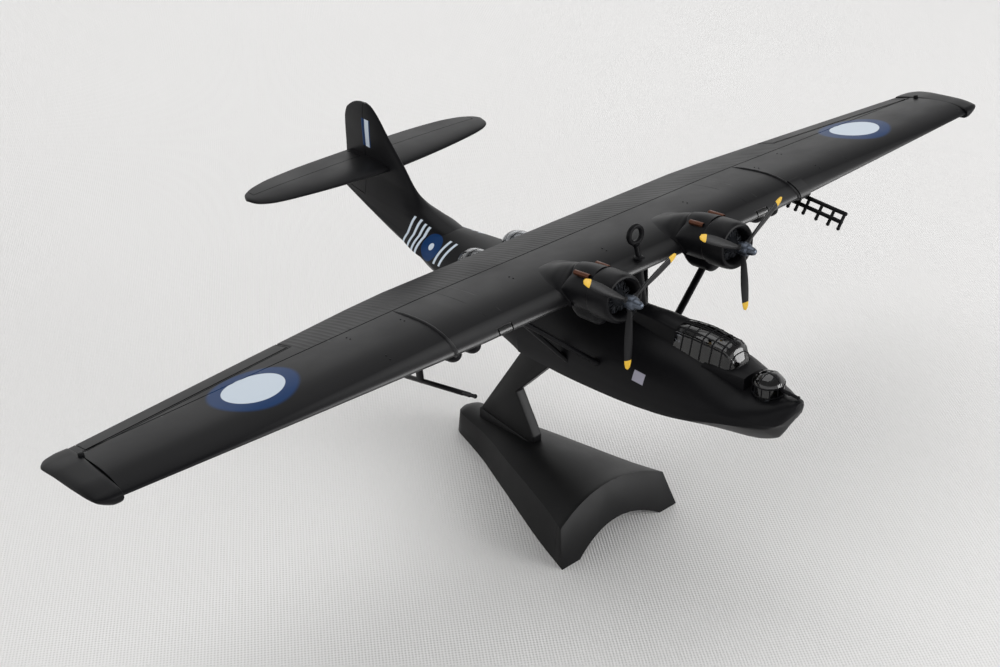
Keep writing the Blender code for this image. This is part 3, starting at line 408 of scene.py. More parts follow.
def turned(profile, steps, middle=(0.0, 0.0, 0.0), axis=(0.0, 1.0, 0.0)):
    """A turned shell: a profile of radius and height, carried round an axis."""
    axis = np.asarray(axis, float) / np.linalg.norm(axis)
    side = np.cross(axis, (0.0, 0.0, 1.0) if abs(axis[2]) < 0.9 else (1.0, 0.0, 0.0))
    side = side / np.linalg.norm(side)
    a = angles(steps)[:, None]
    spoke = np.cos(a) * side + np.sin(a) * np.cross(axis, side)
    profile = np.asarray(profile, float)[..., None, None]
    return skin(profile[:, 0] * spoke + profile[:, 1] * axis + np.asarray(middle, float))


def sweep(path, section, up=(0.0, 0.0, 1.0), loop=False):
    """A section carried along a path: its first number goes across the path and its second
    along the given up direction, made square to the path. A section per point may be given."""
    path = np.asarray(path, float)
    section = np.asarray(section, float)
    if section.ndim == 2:
        section = np.broadcast_to(section, (len(path),) + section.shape)
    if loop:
        along = np.roll(path, -1, 0) - np.roll(path, 1, 0)
    else:
        along = np.gradient(path, axis=0)
    along /= np.linalg.norm(along, axis=1)[:, None]
    up = np.broadcast_to(np.asarray(up, float), path.shape)
    up = up - np.sum(up * along, 1)[:, None] * along
    up /= np.linalg.norm(up, axis=1)[:, None]
    across = np.cross(along, up)
    rings = path[:, None] + section[..., 0, None] * across[:, None] + section[..., 1, None] * up[:, None]
    return skin(rings, loop)


def oval(across, up, steps=16, power=2.0):
    """A closed superellipse section of two half widths: cosine and sine to the power 2 / n."""
    c, s = np.cos(angles(steps)), np.sin(angles(steps))
    return np.stack([
        across * np.sign(c) * np.abs(c) ** (2.0 / power),
        up * np.sign(s) * np.abs(s) ** (2.0 / power),
    ], 1)


# Domed end of a bar: its share of the radius at the tip and at two places inwards of it.
DOME = np.array([0.55, 0.8, 1.0])
DOME_PLACES = (0.08, 0.35)


def tube(points, radius, steps=16, up=(0.0, 0.0, 1.0)):
    """A round bar along straight or curved runs; its two ends are domed by shrinking rings."""
    points = np.asarray(points, float)
    radius = np.broadcast_to(np.asarray(radius, float), len(points))
    ends = []
    for near, inner, r in ((points[0], points[1], radius[0]), (points[-1], points[-2], radius[-1])):
        inwards = (inner - near) / np.linalg.norm(inner - near)
        ends.append([near + inwards * r * k for k in DOME_PLACES])
    points = np.vstack([points[:1], ends[0], points[1:-1], ends[1][::-1], points[-1:]])
    radius = np.concatenate([radius[0] * DOME, radius[1:-1], radius[-1] * DOME[::-1]])
    return sweep(points, oval(1.0, 1.0, steps)[None] * radius[:, None, None], up)


def ball(middle, radii, steps=32, rows=20):
    """An ellipsoid: half circle profile turned about z, then scaled to its three radii."""
    a = np.linspace(0.02, np.pi - 0.02, rows)
    points, faces = turned(np.stack([np.sin(a), -np.cos(a)], 1), steps, axis=(0.0, 0.0, 1.0))
    return points * np.asarray(radii) + np.asarray(middle), faces


def block(low, high):
    """A plain block between two corners, as a square section carried along x."""
    low, high = np.asarray(low, float), np.asarray(high, float)
    middle = 0.5 * (low + high)
    half = 0.5 * (high - low)
    section = np.array([(-1, -1), (1, -1), (1, 1), (-1, 1)]) * half[1:]
    return sweep(np.array([(low[0], *middle[1:]), (high[0], *middle[1:])]), section)


def place_mesh(name, shells, datum):
    """One object from several shells given in a frame, still without a finish."""
    points, faces, start = [], [], 0
    for shell_points, shell_faces in shells:
        points.append(shell_points)
        faces += [[i + start for i in face] for face in shell_faces]
        start += len(shell_points)
    mesh = bpy.data.meshes.new(name)
    mesh.from_pydata(to_world(np.vstack(points), datum), [], faces)
    piece = bpy.data.objects.new(name, mesh)
    bpy.context.scene.collection.objects.link(piece)
    return piece


# The slot of each finish in the construction; all the others are black enamel.
SLOTS = {
    "copper": "copper_paint", "engine": "engine_grey", "stand": "stand_plastic",
    "clear": "clear_plastic", "smoked": "clear_plastic", "lamp_lens": "clear_plastic",
    "lamp": "clear_plastic",
    "propeller_starboard": "propeller_black", "propeller_port": "propeller_black",
}


def finished(piece, look, slot=None, body="airframe", nodes=(), smooth=38.0):
    """Shade, paint and attach a piece, and hide the construction nodes that it takes the place of."""
    mesh = piece.data
    mesh.shade_smooth()
    mesh.set_sharp_from_angle(angle=np.radians(smooth))
    mesh.materials.clear()
    mesh.materials.append(finish(look))
    slot = slot or SLOTS.get(look, "black_enamel")
    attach(piece, body)
    if nodes:
        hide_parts(*nodes)


def add_piece(name, shells, datum, look="enamel", **rest):
    """A finished piece straight from its shells."""
    finished(place_mesh(name, shells, datum), look, **rest)


def apply_modifiers(piece):
    """Take the piece's mesh as its modifiers leave it, and drop them."""
    seen = piece.evaluated_get(bpy.context.evaluated_depsgraph_get())
    mesh = bpy.data.meshes.new_from_object(seen)
    piece.modifiers.clear()
    piece.data = mesh


def carve(piece, *cutters):
    """Take each cutter's solid away from the piece, then remove the cutters."""
    for cutter in cutters:
        step = piece.modifiers.new("carve", "BOOLEAN")
        step.solver = "EXACT"
        step.object = cutter
    apply_modifiers(piece)
    for cutter in cutters:
        bpy.data.objects.remove(cutter, do_unlink=True)


def soften(piece, width, angle=30.0):
    """Round the sharp edges of a piece by a small radius in millimetres."""
    step = piece.modifiers.new("soften", "BEVEL")
    step.width = width * MM
    step.segments = 3
    step.limit_method = "ANGLE"
    step.angle_limit = np.radians(angle)
    apply_modifiers(piece)


def wire(tree, made, values=None, links=None):
    """Set socket values of a node and link its sockets."""
    for key, value in (values or {}).items():
        made.inputs[key].default_value = value
    for key, source in (links or {}).items():
        tree.links.new(source, made.inputs[key])


def node(tree, kind, values=None, links=None, **settings):
    """Add one node with its settings, its socket values and its links, and give its outputs."""
    made = tree.nodes.new("ShaderNode" + kind)
    for key, value in settings.items():
        setattr(made, key, value)
    wire(tree, made, values, links)
    return made.outputs


def ramp(low, high, start, end):
    """Socket values for a range that goes from start to end between low and high."""
    return {"From Min": low, "From Max": high, "To Min": start, "To Max": end}


def new_material(name):
    """A material with its Principled shader, whose other nodes are added by its finish."""
    made = bpy.data.materials.new(name)
    made.use_nodes = True
    return made, made.node_tree, made.node_tree.nodes["Principled BSDF"]


def drifting_tone(tree, drift, tone, dark, light):
    """A tone that drifts with a noise between a darker and a lighter share of itself."""
    low, high = [tuple(min(1.0, share * part) for part in tone) for share in (dark, light)]
    mix = node(tree, "Mix", {6: (*low, 1.0), 7: (*high, 1.0)}, {0: drift}, data_type="RGBA")
    return mix[2]


def enamel_base(tree, shader, tone, rough=0.4, grain=0.22, depth=0.004):
    """A sprayed or moulded skin: bump from noise whose cell is the grain in millimetres, and a
    tone and a roughness that drift by a few percent over some ten millimetres."""
    place = node(tree, "TexCoord")["Object"]
    fine = node(tree, "TexNoise", {"Scale": 1.0 / (grain * MM), "Detail": 2.0}, {"Vector": place})
    bump = node(tree, "Bump", {"Strength": 1.0, "Distance": depth * MM},
                {"Height": fine["Fac"]})
    drift = node(tree, "TexNoise", {"Scale": 90.0, "Detail": 4.0, "Roughness": 0.6},
                 {"Vector": place})["Fac"]
    level = node(tree, "MapRange", ramp(0.3, 0.7, rough - 0.05, rough + 0.05), {"Value": drift})
    base = drifting_tone(tree, drift, tone, 0.85, 1.25)
    wire(tree, shader, None, {
        "Normal": bump["Normal"], "Roughness": level["Result"], "Base Color": base,
    })
    return place, base


def mark_space(tree, place, datum, origin, turn=np.eye(3)):
    """Coordinates of a painted mark: metres from its middle, along its own axes."""
    lean = Matrix((datum[1] @ turn).tolist()).to_euler("XYZ")
    moved = node(tree, "Mapping", {"Location": to_world(origin, datum), "Rotation": lean},
                 {"Vector": place}, vector_type="TEXTURE")
    return moved["Vector"]


def painted_area(tree, space, depth, limits):
    """Mask of a painted area, down to a depth below the mark's plane: the product, over its
    limits, of a soft step that is 1 where the limit's value is below its edge."""
    under = node(tree, "VectorMath", {1: (0.0, 0.0, -1.0)}, {0: space}, operation="DOT_PRODUCT")
    mask = None
    for value, edge, soft in limits + [(under["Value"], depth, 0.02)]:
        step = node(tree, "MapRange", ramp((edge + soft) * MM, (edge - soft) * MM, 0.0, 1.0),
                    {"Value": value}, interpolation_type="SMOOTHSTEP")["Result"]
        if mask is not None:
            step = node(tree, "Math", None, {0: mask, 1: step}, operation="MULTIPLY")[0]
        mask = step
    return mask


def disc(tree, space, radius, soft=0.06, depth=0.0):
    """Mask of a round mark in the space's x and y."""
    flat = node(tree, "VectorMath", {1: (1.0, 1.0, 0.0)}, {0: space}, operation="MULTIPLY")
    size = node(tree, "VectorMath", None, {0: flat[0]}, operation="LENGTH")
    return painted_area(tree, space, depth, [(size["Value"], radius, soft)])


def bar(tree, space, middle, half, depth, slant=0.0):
    """Mask of a bar in the space's x and y; slant moves its top along x."""
    limits = []
    for axis, centre, reach in zip(((1.0, -slant, 0.0), (0.0, 1.0, 0.0)), middle, half):
        place = node(tree, "VectorMath", {1: axis}, {0: space}, operation="DOT_PRODUCT")
        shift = node(tree, "Math", {1: centre * MM}, {0: place["Value"]}, operation="SUBTRACT")
        size = node(tree, "Math", None, {0: shift[0]}, operation="ABSOLUTE")
        limits.append((size[0], reach, 0.05))
    return painted_area(tree, space, depth, limits)


def paint(tree, shader, base, layers):
    """Lay marks over the base, each a mask and a colour, and feed the shader."""
    for mask, tone in layers:
        base = node(tree, "Mix", {7: (*tone, 1.0)}, {0: mask, 6: base}, data_type="RGBA")[2]
    wire(tree, shader, None, {"Base Color": base})


def black_enamel(name="satin_black_enamel"):
    """Sprayed enamel on die-cast zinc: nearly black, with a broad soft sheen and fine grain."""
    made, tree, shader = new_material(name)
    place, base = enamel_base(tree, shader, setting("colours").enamel)
    wire(tree, shader, {"IOR": 1.5, "Specular IOR Level": 0.1})
    return made, tree, shader, place, base


# Wing discs: distance outboard on each side, place along the chord, radii of white and blue.
DISC_X = (-72.4, 74.4)
DISC_Y = 12.55
DISC_RADII = (5.08, 7.3)
DISC_SOFT = 0.45


def wing_enamel():
    """The same enamel with the two printed discs: the blue has a soft edge, the white a crisp one.
    It lies glossier over the leading edge, which catches the pale floor as a light strip."""
    made, tree, shader, place, base = black_enamel("satin_black_enamel_with_discs")
    tones = setting("colours")
    run = node(tree, "SeparateXYZ", None, {0: mark_space(tree, place, WING, (0.0, 0.0, 0.0))})
    gloss = node(tree, "MapRange", ramp(0.8 * MM, 2.6 * MM, 0.6, 0.1), {"Value": run["Y"]})
    wire(tree, shader, None, {"Specular IOR Level": gloss["Result"]})
    layers = []
    for x in DISC_X:
        space = mark_space(tree, place, WING, (x, DISC_Y, 1.0))
        layers.append((disc(tree, space, DISC_RADII[1], DISC_SOFT), tones.blue))
        layers.append((disc(tree, space, DISC_RADII[0]), tones.white))
    paint(tree, shader, base, layers)
    return made


# Marks on the hull side: where the discs sit, how far their plane leans, their radii and depth.
SIDE_DISC = (5.59, 32.6, 13.95)
SIDE_LEAN = 46.0
SIDE_RADII = (("blue", 3.0), ("white", 0.8))
SIDE_DEPTH = 2.5
# Each bar: distance aft of the disc, its middle up the side, half height, depth of paint.
SIDE_BARS = [
    (9.3, 0.6, 3.5, 3.4), (7.2, 0.6, 3.5, 3.4), (5.4, 0.4, 3.3, 3.2), (3.9, 0.3, 3.2, 3.0),
    (-3.6, 0.0, 2.9, 2.0), (-5.6, 0.0, 2.9, 2.0),
]
BAR_HALF_WIDTH = 0.36
BAR_SLANT = 0.22
SIDE_PATCH = (9.2, -31.6, 12.35)
PATCH_LEAN = 24.0
PATCH_HALF = (1.3, 0.98)


def side_plane(side, lean):
    """Axes of a mark on a side: x aft along the hull, y up the side, z out of it."""
    return rotation("y", side * (90.0 - lean)) @ rotation("z", 90.0)


def side_marks(tree, place):
    """Masks and colours of each side's disc and plain slanted bars, and of the pale square."""
    tones = setting("colours")
    layers = []
    for side in SIDES.values():
        space = mark_space(tree, place, HULL, (side * SIDE_DISC[0], *SIDE_DISC[1:]),
                           side_plane(side, SIDE_LEAN))
        for start, level, half, depth in SIDE_BARS:
            mask = bar(tree, space, (start, side * level), (BAR_HALF_WIDTH, half), depth, BAR_SLANT)
            layers.append((mask, tones.white))
        for tone, radius in SIDE_RADII:
            layers.append((disc(tree, space, radius, depth=SIDE_DEPTH), getattr(tones, tone)))
        space = mark_space(tree, place, HULL, (side * SIDE_PATCH[0], *SIDE_PATCH[1:]),
                           side_plane(side, PATCH_LEAN))
        layers.append((bar(tree, space, (0.0, 0.0), PATCH_HALF, 2.0), tones.patch))
    return layers


def hull_enamel():
    """The same enamel with the side marks."""
    made, tree, shader, place, base = black_enamel("satin_black_enamel_hull")
    paint(tree, shader, base, side_marks(tree, place))
    return made


# Fin stripes: middle aft of the step, half width and colour; then their middle height and half height.
FLASH = [(60.2, 0.7, "blue"), (59.0, 0.75, "white"), (58.05, 0.2, "blue")]
FLASH_HEIGHT = (29.75, 3.05)


def fin_enamel():
    """The same enamel with upright blue, white and blue stripes on both sides of the fin. The side
    marks run on from the hull over the fin's foot."""
    made, tree, shader, place, base = black_enamel("satin_black_enamel_fin")
    space = mark_space(tree, place, HULL, (0.0, 0.0, 0.0), side_plane(1.0, 0.0))
    layers = side_marks(tree, place)
    for y, half, tone in FLASH:
        mask = bar(tree, space, (y, FLASH_HEIGHT[0]), (half, FLASH_HEIGHT[1]), 4.0)
        layers.append((mask, getattr(setting("colours"), tone)))
    paint(tree, shader, base, layers)
    return made


HUB_PAINT_RADIUS = 1.25
TIP_PAINT_RADIUS = 10.5


def propeller_paint(side_name):
    """Enamel on a moulded propeller: black blades with yellow tips, blue-grey metallic hub.
    The tips read as flat and bright beside the dark blades; the hub catches the light."""
    made, tree, shader = new_material("propeller_enamel_" + side_name)
    tones = setting("colours")
    place, base = enamel_base(tree, shader, linear("101012"))
    middle = (SIDES[side_name] * ENGINE_X, BLADE_PLANE, THRUST_Z)
    space = mark_space(tree, place, WING, middle, rotation("x", 90.0))
    hub = disc(tree, space, HUB_PAINT_RADIUS, 0.02, depth=5.0)
    blades = disc(tree, space, TIP_PAINT_RADIUS, 0.05, depth=5.0)
    tips = node(tree, "Mix", {6: (*tones.tips, 1.0)}, {0: blades, 7: base}, data_type="RGBA")
    paint(tree, shader, tips[2], [(hub, tones.hub)])
    wire(tree, shader, {"Specular IOR Level": 0.2}, {"Metallic": hub})
    return made


def plain_finish(name, tone, rough=0.4, metallic=0.0, grain=0.22, depth=0.004):
    """One even paint or plastic with its grain and a slow drift of tone."""
    made, tree, shader = new_material(name)
    enamel_base(tree, shader, tone, rough, grain, depth)
    wire(tree, shader, {"Metallic": metallic})
    if metallic < 0.5:
        wire(tree, shader, {"IOR": 1.5, "Specular IOR Level": 0.15})
    return made


def clear_plastic(name, tone, rough=0.04, gloss=0.5):
    """Moulded clear polystyrene: sharp bright reflections, slightly uneven from the mould."""
    made, tree, shader = new_material(name)
    place = node(tree, "TexCoord")["Object"]
    ripple = node(tree, "TexNoise", {"Scale": 450.0, "Detail": 1.0},
                  {"Vector": place})["Fac"]
    bump = node(tree, "Bump", {"Strength": 0.35, "Distance": 0.03 * MM}, {"Height": ripple})
    wire(tree, shader,
         {"Roughness": rough, "IOR": 1.59, "Specular IOR Level": gloss, "Transmission Weight": 1.0},
         {"Normal": bump["Normal"], "Base Color": drifting_tone(tree, ripple, tone, 0.92, 1.0)})
    return made


THREAD = 0.6


def floor_cloth():
    """Pale woven cloth, almost white: crossing threads on the slant, and a slow unevenness of tone."""
    made, tree, shader = new_material("pale_woven_cloth")
    place = node(tree, "TexCoord")["Object"]
    heights = []
    for turn in (32.0, -58.0):
        moved = node(tree, "Mapping", {"Rotation": (0.0, 0.0, np.radians(turn))}, {"Vector": place})
        wave = node(tree, "TexWave", {"Scale": 1.0 / (THREAD * MM) / 3.2, "Distortion": 0.4},
                    {"Vector": moved["Vector"]})
        heights.append(wave["Fac"])
    weave = node(tree, "Math", None, {0: heights[0], 1: heights[1]}, operation="ADD")[0]
    bump = node(tree, "Bump", {"Strength": 0.5, "Distance": 0.09 * MM}, {"Height": weave})
    drift = node(tree, "TexNoise", {"Scale": 6.0, "Detail": 3.0}, {"Vector": place})["Fac"]
    base = drifting_tone(tree, drift, setting("stage").floor, 0.95, 1.0)
    wire(tree, shader, {"Roughness": 0.85}, {"Normal": bump["Normal"], "Base Color": base})
    return made


FINISHES = {}


def finish(name):
    """The finish of that name, made once."""
    if name not in FINISHES:
        tones = setting("colours")
        makers = {
            "enamel": lambda: black_enamel()[0],
            "wing": wing_enamel,
            "hull": hull_enamel,
            "fin": fin_enamel,
            "propeller_starboard": lambda: propeller_paint("starboard"),
            "propeller_port": lambda: propeller_paint("port"),
            # Half metallic, so that the stubs glow brown where they face the light.
            "copper": lambda: plain_finish("copper_paint", tones.copper, 0.38, 0.7, depth=0.008),
            # A shade lighter than the enamel, so that the fins show inside the dark cowl.
            "engine": lambda: plain_finish("engine_grey_paint", linear("34363a"), metallic=0.4),
            # Coarser grain than the enamel: the stand looks moulded beside the sprayed hull.
            "stand": lambda: plain_finish("moulded_black_abs", tones.stand, grain=0.35, depth=0.006),
            "clear": lambda: clear_plastic("clear_polystyrene", linear("9a9da1")),
            "smoked": lambda: clear_plastic("smoked_polystyrene", linear("1e1f22"), 0.06, 0.2),
            # Frosted, so that the lamp is a dull grey patch in the edge.
            "lamp_lens": lambda: clear_plastic("frosted_polystyrene", linear("3c3d40"), 0.3, 0.3),
            "lamp": lambda: plain_finish("lamp_backing_paint", linear("2e2f32")),
            "floor": floor_cloth,
        }
        FINISHES[name] = makers[name]()
    return FINISHES[name]


def hull_rings(y):
    """Hull sections at the given stations. Each side runs from the keel out along a slightly
    hollow bottom to the chine, up a barely bulged side to the widest place, and over the deck
    as a quarter superellipse; a soft knuckle is added along the bow."""
    keel, chine, beam, mid, half, deck, power = through(HULL_TABLE, y).T[:, :, None]
    t = np.linspace(0.0, 1.0, 9)[None, :-1]
    bottom = (beam * t, keel + (chine - keel) * t**1.25)
    t = np.linspace(0.0, 1.0, 7)[None, :-1]
    side = (beam + (half - beam) * t + 0.4 * t * (1.0 - t), chine + (mid - chine) * t)
    a = np.linspace(0.0, 0.5 * np.pi, 29)[None, :-1]
    arch = (half * np.cos(a) ** (2.0 / power), mid + (deck - mid) * np.sin(a) ** (2.0 / power))
    x, z = [np.hstack(parts) for parts in zip(bottom, side, arch)]
    level = np.interp(y, *KNUCKLE.T)[:, None]
    fade = np.clip((KNUCKLE[-1, 0] - y) / 6.0, 0.0, 1.0)[:, None]
    x = x + 0.16 * fade * np.exp(-((z - level) / 0.35) ** 2) * (x > 0.5 * half)
    x = np.hstack([x, np.zeros_like(deck), -x[:, :0:-1]])
    z = np.hstack([z, deck, z[:, :0:-1]])
    return grid(x, y[:, None], z)


def hull_cutter(low, high, steps):
    """The hull's solid between two stations, to be taken away from what stands on it."""
    return place_mesh("hull_cutter", [skin(hull_rings(np.linspace(low, high, steps)))], HULL)


def shoulder_rings(table, y, foot, crown, rounding):
    """Flat-sided sections with a crowned top: from the foot up each side to the shoulder, then
    over the top by height = edge + crown times (1 - |across| cubed), the shoulder rounded."""
    low, high, top = through(table, y).T[:, :, None]
    edge = top - 0.5 * crown
    t = np.linspace(0.0, 1.0, 7)[None, :]
    up = (low + (high - low) * t, foot + (edge - rounding - foot) * t)
    a = np.linspace(0.0, 0.5 * np.pi, 6)[None, 1:]
    turn = (high - rounding * (1.0 - np.cos(a)) * 0.6, edge - rounding * (1.0 - np.sin(a)))
    s = np.linspace(1.0, 0.0, 10)[None, 1:]
    over = ((high - 0.6 * rounding) * s, edge + crown * (1.0 - s**3))
    x, z = [np.hstack(parts) for parts in zip(up, turn, over)]
    return grid(np.hstack([x, -x[:, -2::-1]]), y[:, None], np.hstack([z, z[:, -2::-1]]))


def section_shape(c):
    """Half thickness of the usual four-digit section over shares of the chord."""
    return 0.2969 * np.sqrt(c) - 0.126 * c - 0.3516 * c**2 + 0.2843 * c**3 - 0.1036 * c**4


def section_heights(lead, trail, ratio, at, camber=CAMBER):
    """Upper and lower heights at places along the chord, by the usual four-digit formula:
    half thickness from a root and four powers of the chord share, about a two-part parabola."""
    chord = trail - lead
    c = np.clip((at - lead) / chord, 0.0, 1.0)
    half = 5.0 * ratio * chord * section_shape(c) + 0.5 * TRAILING_EDGE * c
    front = (2.0 * CAMBER_PLACE * c - c * c) / CAMBER_PLACE**2
    back = (1.0 - 2.0 * CAMBER_PLACE + 2.0 * CAMBER_PLACE * c - c * c) / (1.0 - CAMBER_PLACE) ** 2
    mean = camber * chord * np.where(c < CAMBER_PLACE, front, back)
    slim = 1.0 - (LOWER_SLIM if camber else 0.0) * np.clip((0.3 - c) / 0.2, 0.0, 1.0)
    return mean + half, mean - half * slim


def wing_edges(x):
    """Leading edge, trailing edge and thickness over chord at each station."""
    return straight(WING_PLAN, np.abs(x)).T


def groove(distance):
    """Depth of an engraved line by the distance from its middle: a plain vee."""
    sizes = setting("wing")
    width, depth = sizes.groove_width / MM, sizes.groove_depth / MM
    return depth * np.clip(1.0 - np.abs(distance) / width, 0.0, 1.0)


def aileron_line(x):
    """Place of the aileron's hinge line along the chord."""
    return np.interp(np.abs(x), AILERON_SPAN, AILERON_HINGE)


def chord_places(front, rear, lines, steps):
    """Places along the chord for every station: close together at the front by a cosine, and
    at the two edges and the middle of each engraved line, in order."""
    t = 1.0 - np.cos(np.linspace(0.0, 0.5 * np.pi, steps))
    base = front[:, None] + (rear - front)[:, None] * t
    width = setting("wing").groove_width / MM
    extra = [np.clip(line + shift, front, rear)[:, None]
             for line in lines for shift in (-width, 0.0, width)]
    return np.sort(np.hstack([base] + extra), axis=1)


def wing_rings(x, front, rear, steps=34, ribs=True, tab=False):
    """Wing sections over stations: the upper line from front to rear and the lower one back.
    Fine ribs stand up aft of the seam as a raised cosine to the eighth power of the span place,
    and engraved lines sink as vees: the seam, and with tab a second line ahead of the aileron."""
    sizes = setting("wing")
    span = np.abs(x)[:, None]
    lead, trail, ratio = wing_edges(x)[..., None]
    tab_line = aileron_line(x) - TAB_AHEAD
    y = chord_places(front, rear, [SEAM, tab_line] if tab else [SEAM], steps)
    upper, lower = section_heights(lead, trail, ratio, y)
    rise = 0.0
    if ribs:
        wave = np.cos(np.pi * x[:, None] / (sizes.rib_pitch / MM)) ** 2
        inside = np.clip((y - SEAM - 0.4) / 0.5, 0.0, 1.0) * np.clip((trail - 0.4 - y) / 0.5, 0.0, 1.0)
        if tab:
            inside = inside * (span <= AILERON_SPAN[0] - 0.4)
        rise = sizes.rib_height / MM * (wave**4 - 0.3) * inside
    sink = groove(y - SEAM)
    if tab:
        near = AILERON_SPAN[0] - TAB_BESIDE
        beside = (span > near) & (span < AILERON_SPAN[1] + TAB_BESIDE)
        sink = np.maximum(sink, groove(y - tab_line[:, None]) * beside)
        sink = np.maximum(sink, groove(span - near) * (y > tab_line[:, None]))
    upper, lower = upper + rise - sink, lower - rise + 0.6 * sink
    return there_and_back(grid(x[:, None], y, upper), grid(x[:, None], y, lower))


def stations(low, high, pitch, *marks):
    """Span stations a fine step apart, with a pair close to each place where the edge jumps."""
    places = [np.arange(low, high, pitch), [high]]
    for mark in marks:
        places.append([mark - FLAT_CUT, mark + FLAT_CUT])
    x = np.unique(np.concatenate(places))
    return x[(x >= low) & (x <= high)]


def tail_surface_rings(x, front, rear):
    """Tailplane sections over stations, symmetrical, about the tail's height."""
    lead, trail = through(TAIL_PLAN, np.abs(x)).T[..., None]
    y = chord_places(front, rear, [], 24)
    upper, lower = section_heights(lead, trail, TAIL_THICKNESS, y, 0.0)
    across = x[:, None]
    return there_and_back(grid(across, y, upper + TAIL_HEIGHT), grid(across, y, lower + TAIL_HEIGHT))


def fin_rings(z, front, rear, steps=26):
    """Fin sections over heights: a symmetrical section scaled to the table's half thickness. Its
    foot widens downward to the hull's side, by the power 1.4 of the height still to go."""
    lead, trail, half = through(FIN_TABLE, z).T[..., None]
    z = z[:, None]
    y = chord_places(front, rear, [], steps)
    c = np.clip((y - lead) / (trail - lead), 0.0, 1.0)
    wide = half * (section_shape(c) / 0.1 + 0.1 * c)
    sides = through(HULL_TABLE[:, [0, 2, 3, 4, 5]], y.ravel()).T.reshape(4, *y.shape)
    chine, beam, middle, widest = sides
    hull = beam + (widest - beam) * np.clip((z - chine) / (middle - chine), 0.0, 1.0)
    fall = np.clip(1.0 - (z - middle) / 8.5, 0.0, 1.0) ** 1.4
    spread = np.clip((y - 24.0) / 12.0, 0.0, 1.0) * (1.0 - np.exp((lead - y) / 1.5))
    wide = wide + np.clip(0.97 * hull - wide, 0.0, None) * fall * spread
    return there_and_back(grid(wide, y, z), grid(-wide, y, z))


def polar_bump(angle, table, y):
    """Reach of a rounded ridge from the thrust line at each angle from its crown: the far
    crossing of the ray with a half ellipse that springs a third of the way up the ridge."""
    half, foot, crown = through(table, y).T[:, :, None]
    spring = foot + 0.35 * (crown - foot)
    height = crown - spring
    s, c = np.sin(angle), np.cos(angle)
    a = (s / half) ** 2 + (c / height) ** 2
    b = -2.0 * c * spring / height**2
    k = (spring / height) ** 2 - 1.0
    inside = b * b - 4.0 * a * k
    reach = (-b + np.sqrt(np.clip(inside, 0.0, None))) / (2.0 * a)
    present = (inside > 0.0) & (c > 0.0) & (y >= table[0, 0])[:, None] & (y <= table[-1, 0])[:, None]
    return np.where(present, reach, 0.0)


def nacelle_rings(x):
    """Engine housing as reach over place and angle from the thrust line: the cowl's turned
    profile, then the smoothly joined maximum of body, ridge and chin. Body reach is an ellipse
    whose upper and lower halves have their own heights."""
    angle = angles(96)[None, :]
    y = np.unique(np.concatenate([along_table(BODY_TABLE, 90), BODY_TABLE[:, 0]]))
    half, rise, drop = through(BODY_TABLE, y).T[:, :, None]
    up = np.where(np.cos(angle) > 0.0, rise, drop)
    body = 1.0 / np.sqrt((np.sin(angle) / half) ** 2 + (np.cos(angle) / up) ** 2)
    ridge = polar_bump(angle, RIDGE_TABLE, y)
    chin = polar_bump(angle - np.pi, CHIN_TABLE, y)
    sharp = 9.0
    reach = (body**sharp + ridge**sharp + chin**sharp) ** (1.0 / sharp)
    cowl = np.broadcast_to(COWL_PROFILE[:, :1], (len(COWL_PROFILE), angle.size))
    reach = np.vstack([cowl, reach])
    along = np.concatenate([COWL_PROFILE[:, 1], y])[:, None]
    return grid(x + reach * np.sin(angle), along, THRUST_Z + reach * np.cos(angle))


def saddle_rings(x):
    """Fairing of the housing over the wing: its height above the wing's top falls off across
    the width as a power of one less the square, and it is sunk a little at its edges."""
    y = along_table(SADDLE_TABLE, 40)
    half, rise, power = through(SADDLE_TABLE, y).T[:, :, None]
    wing = section_heights(*wing_edges(np.full_like(y, x))[..., None], y[:, None])[0]
    u = np.linspace(-1.0, 1.0, 41)[None, :]
    across, along = x + half * u, y[:, None]
    top = wing + rise * (1.0 - u * u) ** power - 0.06
    return there_and_back(grid(across, along, top), grid(across, along, wing - 0.5))


def ladder_place(side_name, share, reach):
    """A point some way along the upper boom and some way down a rung."""
    rear, front, (inboard, down) = LADDERS[side_name]
    y, z = (1.0 - share) * np.array(rear) + share * np.array(front)
    return np.array([SIDES[side_name] * (LADDER_X + inboard * reach), y, z + down * reach])


class Builder:
    """Options that all the building steps share."""
    bl_options = {"REGISTER", "UNDO"}


class FLYINGBOAT_OT_hull(Builder, bpy.types.Operator):
    """Hull with its raised bow deck and cockpit fairing"""
    bl_idname = "flyingboat.hull"
    bl_label = "Hull"

    def execute(self, context):
        y = np.unique(np.concatenate([
            np.linspace(-59.6, -54.0, 30), np.linspace(-54.0, 69.5, 200), HULL_TABLE[:, 0],
        ]))
        deck = shoulder_rings(RAISED_DECK, np.linspace(-49.6, -41.5, 16), *DECK_SHAPE)
        fairing = shoulder_rings(FAIRING, along_table(FAIRING, 44), *FAIRING_SHAPE)
        shells = [skin(hull_rings(y)), skin(deck), skin(fairing)]
        add_piece("hull_skin", shells, HULL, "hull", nodes=["hull"], smooth=28.0)
        return {"FINISHED"}


# Canopy frames: the hoops' places, the bars' numbers round a section, height of the cage's middle.
HOOPS = (-46.4, -44.6, -42.4, -40.2, -38.0, -35.8, -33.7)
CANOPY_BARS = (6, 13, 19)
CAGE_MIDDLE = 17.0


